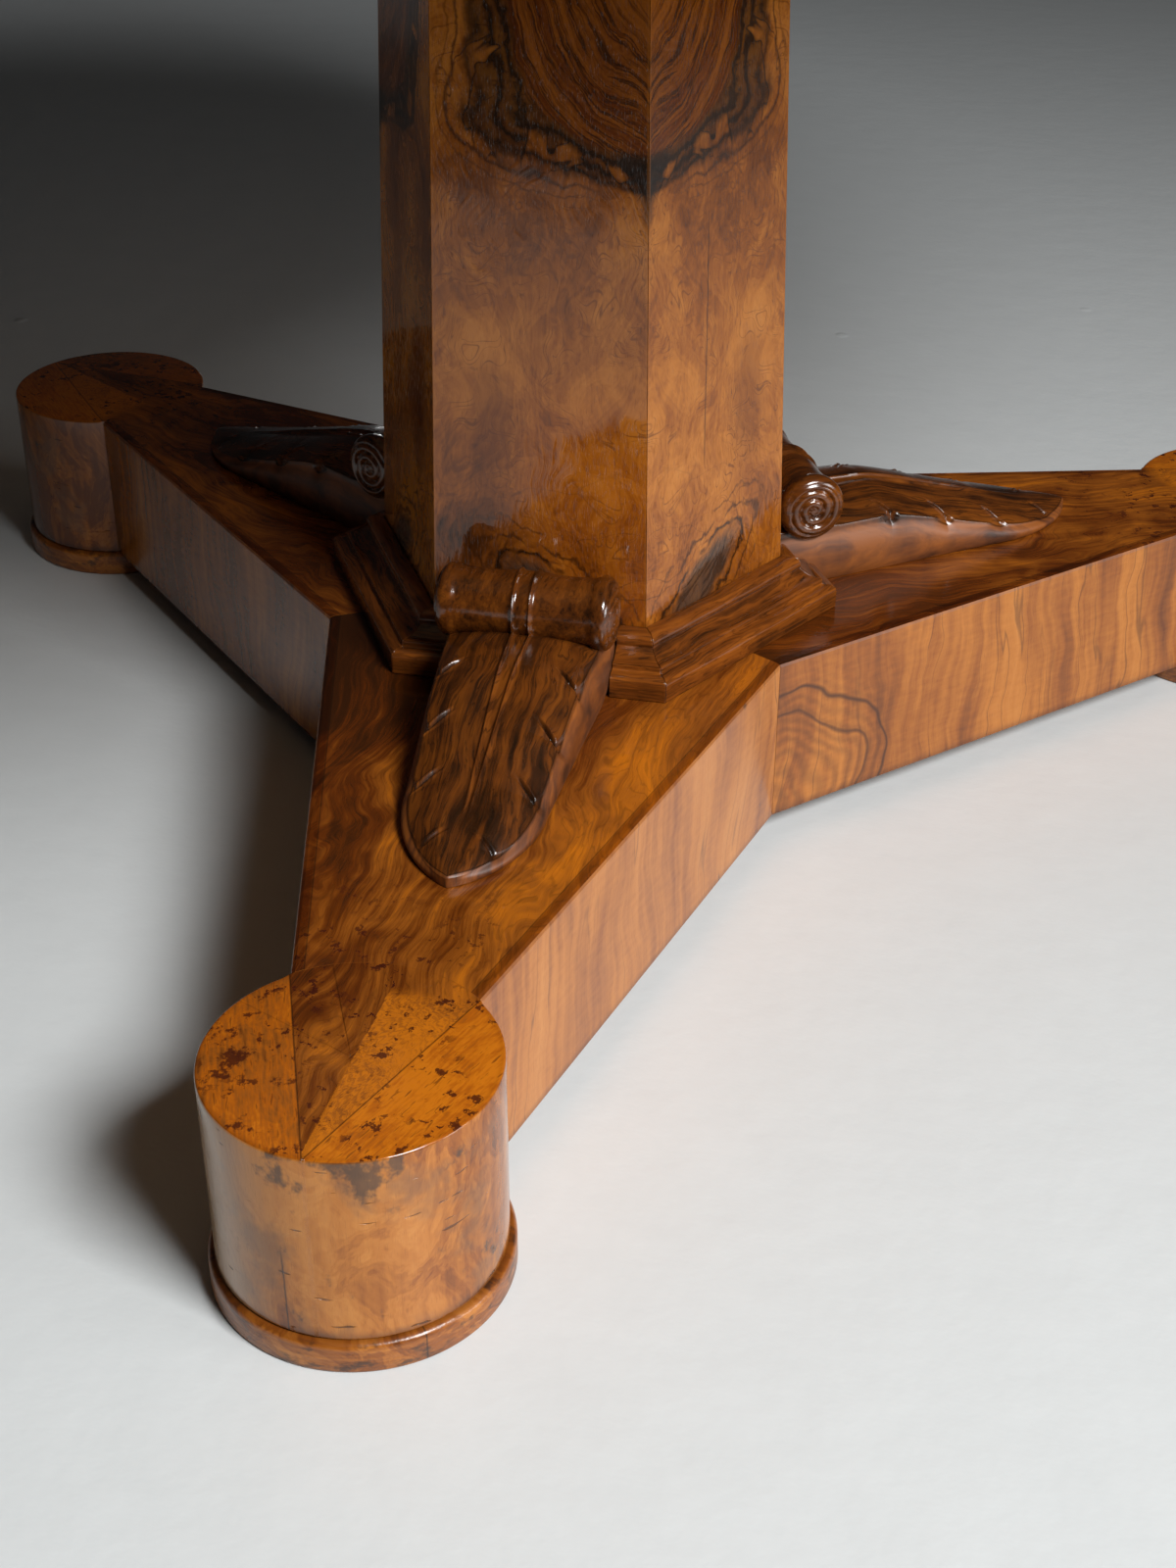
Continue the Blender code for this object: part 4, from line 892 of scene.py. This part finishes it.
def make_feet():
    pad_top = PAD_HEIGHT - FIT_GAP
    pad = arc((PAD_RADIUS - PAD_FLOOR_ROUND, PAD_FLOOR_ROUND), PAD_FLOOR_ROUND, -90, 0, 4)
    pad += arc((PAD_RADIUS - PAD_TOP_ROUND, pad_top - PAD_TOP_ROUND), PAD_TOP_ROUND, 0, 90, 8)
    for i, (name, angle) in enumerate(ARM_ANGLES.items()):
        across, paleness_and_shade, painted_sheen = ARM_TONES[name]
        rim = pad_veneer(f"pad_veneer_{name}", 11 + i)
        turned = lathe(pad, 144, FOOT_DISTANCE)
        piece(f"pad_{name}", turned, rim, "base", [f"foot_pad_{name}"], angle)
        drum = drum_veneer(f"drum_veneer_{name}", 31 + i, across, paleness_and_shade, painted_sheen)
        piece(f"drum_{name}", drum_mesh(), drum, "base", [f"foot_drum_{name}"], angle)
        dress(f"platform_arm_{name}", arm_veneer(f"arm_veneer_{name}", angle, 31 + i, across, paleness_and_shade))


# Column and plinth moulding

def make_column():
    pairs = (("front", 1, 1.0), ("front_right", -1, 1.0), ("right", 1, 2.0), ("back", -1, 2.0),
             ("left", 1, 3.0), ("front_left", -1, 3.0))
    for name, side, seed in pairs:
        angle = {**ARM_ANGLES, **BETWEEN_ANGLES}[name]
        veneer = column_veneer(f"column_veneer_{name}", angle, side, seed)
        dress(f"column_stave_{name}", veneer, STAVE_EDGE)


def column_cap():
    low, high = COLUMN_TOP + FIT_GAP, BLOCK_FOOT - FIT_GAP
    steps = 20
    profile = []
    for i in range(steps + 1):
        a = math.pi / 2 * i / steps
        reach = COLUMN_TOP_RADIUS + CAP_OVERHANG * (1 - math.cos(a))
        profile.append((reach, low + (CAP_HEIGHT - CAP_LIP) * math.sin(a)))
    profile.append((COLUMN_TOP_RADIUS + CAP_OVERHANG, high))
    veneer = apron_veneer("cap_veneer", 41)
    made = piece("cap", lathe(profile, 6), veneer, "base", ["column_cap"], sharp=25)
    soften(made, SOFT_EDGE)


def moulding_profile():
    """Section of the plinth moulding as (distance from the axis, height): torus, fillet, cove and bead."""
    back = COLUMN_APOTHEM + FIT_GAP
    front = COLUMN_APOTHEM + MOULDING_DEPTH
    foot = PLATFORM_HEIGHT + FIT_GAP
    top = PLATFORM_HEIGHT + MOULDING_HEIGHT
    lean = COLUMN_TAPER * math.cos(HALF_FACE) * MOULDING_HEIGHT
    torus = arc((front - TORUS_RADIUS, PLATFORM_HEIGHT + TORUS_HEIGHT), TORUS_RADIUS, 0, 90, 8)
    fillet = [(front - inward, PLATFORM_HEIGHT + up) for inward, up in FILLET_CORNERS]
    bead = arc((back + BEAD_INSET, top - BEAD_RADIUS), BEAD_RADIUS, -25, 90, 12)
    start, end = fillet[-1], bead[0]
    cove = []
    for i in range(1, 8):
        k = i / 8
        sag = COVE_SAG * math.sin(math.pi * k)
        cove.append((start[0] + (end[0] - start[0]) * k, start[1] + (end[1] - start[1]) * k - sag))
    return [(back, foot), (front, foot), *torus, *fillet, *cove, *bead, (back - lean, top)]


def make_mouldings():
    profile = moulding_profile()

    def strip(name, replaced, angle, low_end, high_end, seed):
        bm = loft([[(n, end(n), z) for n, z in profile] for end in (low_end, high_end)])
        wood = carved_wood(f"{name}_wood", seed, along=1, layers=1.0, light=1.2, contrast=0.6, gloss=0.11)
        made = piece(name, bm, wood, "base", [replaced], angle)
        soften(made, MOULDING_EDGE, 3)

    def corner(side):
        joint = FIT_GAP / 4
        return lambda n: side * (n * math.tan(HALF_FACE) - joint)

    def beside_leaf(side):
        return lambda n: side * (LEAF_HALF_WIDTH + LEAF_BELLY + FIT_GAP)

    for i, (name, angle) in enumerate(BETWEEN_ANGLES.items()):
        strip(f"moulding_{name}", f"plinth_moulding_{name}", angle, corner(-1), corner(1), 51 + i)
    for i, (name, angle) in enumerate(ARM_ANGLES.items()):
        for letter, side, seed in (("a", 1, 61 + i), ("b", -1, 64 + i)):
            end = f"return_{name}_{letter}"
            strip(end, f"moulding_{end}", angle, beside_leaf(side), corner(side), seed)


# Carved leaves

def leaf_half_width(u):
    """Half width of the leaf's foot at u, a number or a field: sides that draw in, then a pointed end."""
    first = SCROLL_DISTANCE + SCROLL_RADIUS
    start = LEAF_TIP_DISTANCE - LEAF_ROUND_LENGTH
    taper = limit((u - first) / (start - first))
    s = limit((u - start) / LEAF_ROUND_LENGTH)
    width = LEAF_HALF_WIDTH + (LEAF_ROUND_HALF_WIDTH - LEAF_HALF_WIDTH) * taper
    return width * limit(1 - s * s, LEAF_TIP_BLUNT) ** LEAF_TIP_POINT


def notch_places():
    """Distances of the notches between the lobes of the rim, counted back from the tip."""
    return [LEAF_TIP_DISTANCE - LEAF_TIP_LOBE - LEAF_NOTCH_SPACING * k for k in range(LEAF_NOTCHES)]


def leaf_notch(u):
    """1 at a notch of the rim, and 0 past the long back of one lobe and the short front of the next."""
    depths = []
    for place in notch_places():
        run = NOTCH_BACK if u < place else NOTCH_FRONT
        depths.append(max(0.0, 1 - abs(u - place) / run) ** 1.5)
    return max(depths)


def leaf_rim(u):
    start = SCROLL_DISTANCE + 2.5 * SCROLL_RADIUS
    s = limit((u - start) / (LEAF_TIP_DISTANCE - start))
    share = 0.5 + 0.5 * math.cos(math.pi * s ** 0.75)
    return LEAF_TIP_HEIGHT + (LEAF_RIM_HEIGHT - LEAF_TIP_HEIGHT) * share


def leaf_crown(u):
    rise = smoothstep(SCROLL_DISTANCE, SCROLL_DISTANCE + LEAF_CROWN_RUN, u)
    fade = math.sqrt(limit((LEAF_TIP_DISTANCE - u) / LEAF_ROUND_LENGTH))
    return LEAF_CROWN_RISE * rise * fade


def leaf_carving(u, v):
    """Height that the carver left or took away at a point of the leaf, with v counted from the midrib."""
    across = abs(v)
    left_over = LEAF_TIP_DISTANCE - u
    spread = RIB_SPREAD * limit(left_over / RIB_LENGTH, 0.05)
    ridge = RIB_HEIGHT * math.exp(-((across - spread) / RIB_WIDTH) ** 2)
    valley = RIB_VALLEY * (1 - smoothstep(0.4 * spread, spread, across))
    height = (ridge - valley) * smoothstep(*RIB_FADE, left_over)
    length = math.hypot(VEIN_BACK, VEIN_IN)
    for place in notch_places():
        du, dv = place - u, leaf_half_width(place) - LEAF_RIM_INSET - LEAF_NOTCH_DEPTH - across
        at = (du * VEIN_BACK + dv * VEIN_IN) / length
        off = (du * VEIN_IN - dv * VEIN_BACK) / length
        if at < -VEIN_OVERRUN or at > length:
            continue
        share = 1 - smoothstep(0.35 * length, length, at)
        cut = math.exp(-(off / VEIN_WIDTH) ** 2)
        lip = math.exp(-((abs(off) - 2 * VEIN_WIDTH) / VEIN_WIDTH) ** 2)
        step = 1 - smoothstep(0.0, LOBE_STEP_RUN, off) if off > 0 else 0.0
        height += share * (step * LOBE_STEP + lip * VEIN_LIP - cut * VEIN_DEPTH)
    return height


def carved_shares():
    """Places across half of the leaf's top from the rim, 1, to the midrib, 0, closest where the cuts are."""
    zones = ((1.0, 0.5, 42), (0.5, 0.2, 8), (0.2, 0.0, 19))
    shares = [start + (end - start) * i / count for start, end, count in zones for i in range(count)]
    return [*shares, 0.0]


def leaf_section(u, shares):
    """Closed section of the carved leaf at u: up one side, over the top and down the other side."""
    foot = leaf_half_width(u)
    rim = leaf_rim(u)
    full = smoothstep(0.0, LEAF_HALF_WIDTH / 2, foot)
    inset = (LEAF_RIM_INSET + LEAF_NOTCH_DEPTH * leaf_notch(u)) * full
    crown = leaf_crown(u)
    thin = limit(rim / LEAF_FULL_RIM)
    middle = math.tan(LEAF_SWING) * max(0.0, u - SCROLL_DISTANCE)
    side = [(foot - LEAF_EDGE * full, FIT_GAP)]
    for level in (0.08, 0.2, 0.32, 0.45, 0.58, 0.7, 0.8, 0.87, 0.93):
        bulge = LEAF_BELLY * full * math.sin(math.pi * limit(level / 0.85))
        side.append((foot + bulge - inset * smoothstep(0.6, 1.0, level), level * rim))
    edge = foot - inset
    side += [(edge + out * full, rim - drop * thin) for out, drop in LEAF_RIM_CORNERS]
    top = []
    for share in shares:
        v = share * (edge - LEAF_EDGE * full)
        carved = leaf_carving(u, v) * thin * full
        top.append((v, rim + crown * (1 - share ** 2.4) + carved))
    half = side + top
    up = [(middle + v, z) for v, z in half]
    down = [(middle - v, z) for v, z in reversed(half[:-1])]
    return up + down


def leaf_sections():
    """Rings of points round the carved leaf: few under the scroll, then close together up to the tip."""
    start = COLUMN_APOTHEM + FIT_GAP
    shown = SCROLL_DISTANCE + 0.6 * SCROLL_RADIUS
    hidden, seen = 8, 370
    places = [start + (shown - start) * i / hidden for i in range(hidden)]
    places += [shown + (LEAF_TIP_DISTANCE - shown) * i / seen for i in range(seen + 1)]
    shares = carved_shares()
    return [[(u, v, PLATFORM_HEIGHT + z) for v, z in leaf_section(u, shares)] for u in places]


def scroll_radius(v):
    """Radius of the rolled scroll at a place along it: two ridges in the middle, a slight waist, collars."""
    across = abs(v)
    ridge = RIB_HEIGHT * math.exp(-((across - RIB_SPREAD) / SCROLL_RIDGE_WIDTH) ** 2)
    share = max(0.0, (across - SCROLL_PLAIN) / (SCROLL_HALF_LENGTH - SCROLL_PLAIN))
    waist = -SCROLL_WAIST * math.sin(math.pi * limit(share / 0.85))
    collar = SCROLL_COLLAR * smoothstep(0.72, 0.83, share)
    end = -SCROLL_END_ROUND * max(0.0, (share - 0.9) / 0.1) ** 2
    return SCROLL_RADIUS - SCROLL_COLLAR + ridge + waist + collar + end


def scroll():
    """Rolled head of the leaf: a turned body along v with a carved spiral on each end."""
    steps, count, inner = 96, 120, 26
    end_radius = scroll_radius(SCROLL_HALF_LENGTH)

    def spiral(radius, a, side):
        turn = radius / SPIRAL_PITCH + side * a / (2 * math.pi)
        ridge = math.sin(math.pi * (turn % 1.0)) ** 0.7
        fade = 1 - smoothstep(0.82, 1.0, radius / end_radius)
        eye = SPIRAL_EYE * (1 - smoothstep(0.0, SPIRAL_EYE_RADIUS, radius))
        return side * (SPIRAL_RIDGE * ridge * fade * smoothstep(*SPIRAL_START, radius) + eye)

    def ring(v, radius, side=0):
        points = []
        for i in range(steps):
            a = 2 * math.pi * i / steps
            out = spiral(radius, a, side) if side else 0.0
            u, z = SCROLL_DISTANCE + radius * math.cos(a), SCROLL_HEIGHT + radius * math.sin(a)
            points.append((u, v + out, z))
        return points

    radii = [end_radius * i / inner for i in range(1, inner)]
    places = [SCROLL_HALF_LENGTH * (2 * i / count - 1) for i in range(count + 1)]
    rings = [ring(-SCROLL_HALF_LENGTH, radius, -1) for radius in radii]
    rings += [ring(v, scroll_radius(v)) for v in places]
    rings += [ring(SCROLL_HALF_LENGTH, radius, 1) for radius in reversed(radii)]
    return loft(rings)


def make_leaves():
    sections = leaf_sections()
    for i, (name, angle) in enumerate(ARM_ANGLES.items()):
        wood = carved_wood(f"leaf_wood_{name}", 71 + i, along=0, layers=0.2, light=0.82, contrast=0.85,
                           gloss=0.2, leaf=True)
        piece(f"leaf_{name}", loft(sections), wood, "base", [f"carved_leaf_{name}"], angle, 50)
        roll = carved_wood(f"scroll_wood_{name}", 74 + i, along=0, layers=0.7, light=0.8, contrast=0.6,
                           gloss=0.13)
        piece(f"leaf_scroll_{name}", scroll(), roll, "base", (), angle, 50)


# Top

def make_top():
    middle = TOP_RADIUS - TOP_EDGE
    profile = arc((middle, TOP_UNDERSIDE + TOP_EDGE), TOP_EDGE, -90, 0, 8)
    profile += arc((middle, TABLE_HEIGHT - TOP_EDGE), TOP_EDGE, 0, 90, 8)
    veneer = top_veneer("top_veneer", 81)
    piece("round_top", lathe(profile, 192), veneer, "top", ["table_top"], sharp=60)
    inner = TOP_RADIUS - APRON_INSET - APRON_THICKNESS
    outer = inner + APRON_THICKNESS
    share = 360 / APRON_SEGMENTS
    joint = math.degrees(FIT_GAP / 4 / inner)
    veneer = apron_veneer("apron_veneer", 42, inner)
    for i in range(APRON_SEGMENTS):
        start, end = share * i + joint, share * (i + 1) - joint
        outline = arc((0.0, 0.0), outer, start, end, 40) + arc((0.0, 0.0), inner, end, start, 40)
        bm = loft([[(x, y, z) for x, y in outline] for z in (BLOCK_FOOT, BLOCK_TOP)])
        made = piece(f"apron_{i + 1}", bm, veneer, "top", [f"apron_segment_{i + 1}"])
        soften(made, SOFT_EDGE)


def dress_hidden_pieces():
    """Materials for the nodes that keep their CAD shape."""
    grain = ("across", "along", "upright")
    across, along, upright = (pine(f"pine_{name}", 91 + axis, axis) for axis, name in enumerate(grain))
    black, yellow = iron("black_iron"), brass("old_brass")
    dress("pivot_block", across, ROUGH_EDGE)
    for side in ("left", "right"):
        dress(f"top_bearer_{side}", along, ROUGH_EDGE)
        dress(f"pivot_pin_{side}", black)
        for end in ("front", "back"):
            dress(f"bearer_screw_{side}_{end}", black)
    for plug in ("lower", "upper"):
        dress(f"column_plug_{plug}", upright)
        dress(f"tie_rod_nut_{plug}", black, SOFT_EDGE)
    for name in ARM_ANGLES:
        dress(f"foot_dowel_{name}", along)
        dress(f"hub_screw_{name}", black)
    dress("tie_rod", black)
    dress("hub_plate", black, SOFT_EDGE)
    for node in ("catch_case", "catch_bolt", "catch_strike"):
        dress(node, yellow, FINE_EDGE)


# Studio

def make_floor():
    """Painted floor, pale round the table, with painted shade that darkens it in front, so that the polish
    mirrors no far floor.
    """
    bpy.ops.mesh.primitive_plane_add(size=1)
    floor = bpy.context.object
    floor.name = "floor"
    middle = Matrix.Translation((0.0, (FLOOR_BACK + FLOOR_FRONT) / 2, 0.0))
    floor.data.transform(middle @ Matrix.Diagonal((FLOOR_WIDTH, FLOOR_BACK - FLOOR_FRONT, 1.0, 1.0)))
    paint = Paint("painted_floor", 5.0)
    x, y, _ = paint.place()
    brushed = paint.noise((x * 26, y * 34), detail=4, roughness=0.6)
    chips = paint.cells((x * 9, y * 9)).fall(0.02, 0.06)
    colour = paint.ramp(brushed, *FLOOR_TONES).mix(y.fall(*FLOOR_FADE), FLOOR_SHADE)
    floor.data.materials.append(paint.finish(colour, 0.5, brushed + chips * 0.6, 0.0006))


def make_light():
    for name, (place, target, size, spread, power) in LAMPS.items():
        lamp = bpy.data.lights.new(name, "AREA")
        lamp.shape = "RECTANGLE"
        lamp.size, lamp.size_y = size
        lamp.spread = math.radians(spread)
        lamp.energy = power
        made = bpy.data.objects.new(name, lamp)
        bpy.context.scene.collection.objects.link(made)
        made.location = place
        made.rotation_euler = (Vector(target) - Vector(place)).to_track_quat("-Z", "Y").to_euler()
    world = bpy.data.worlds.new("studio")
    bpy.context.scene.world = world
    world.use_nodes = True
    world.node_tree.nodes["Background"].inputs["Color"].default_value = WORLD_COLOUR


def make_camera():
    data = bpy.data.cameras.new("camera")
    data.sensor_fit = "VERTICAL"
    data.sensor_height = CAMERA_SENSOR
    data.lens = CAMERA_LENS
    data.clip_start = 0.01
    camera = bpy.data.objects.new("camera", data)
    bpy.context.scene.collection.objects.link(camera)
    pose = Matrix.Rotation(CAMERA_YAW, 4, "Z") @ Matrix.Rotation(math.pi / 2 - CAMERA_PITCH, 4, "X")
    pose = pose @ Matrix.Rotation(CAMERA_ROLL, 4, "Z")
    pose.translation = CAMERA_PLACE
    camera.matrix_world = pose
    bpy.context.scene.camera = camera


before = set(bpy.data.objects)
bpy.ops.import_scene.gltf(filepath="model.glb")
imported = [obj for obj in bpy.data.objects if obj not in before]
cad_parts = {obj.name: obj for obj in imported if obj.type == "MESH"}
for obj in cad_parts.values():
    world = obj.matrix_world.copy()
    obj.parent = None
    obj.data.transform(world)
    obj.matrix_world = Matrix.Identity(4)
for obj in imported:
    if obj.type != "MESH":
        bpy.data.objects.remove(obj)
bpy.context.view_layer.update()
bpy.context.scene.view_settings.view_transform = "Standard"
make_feet()
make_column()
column_cap()
make_mouldings()
make_leaves()
make_top()
dress_hidden_pieces()
make_floor()
make_light()
make_camera()
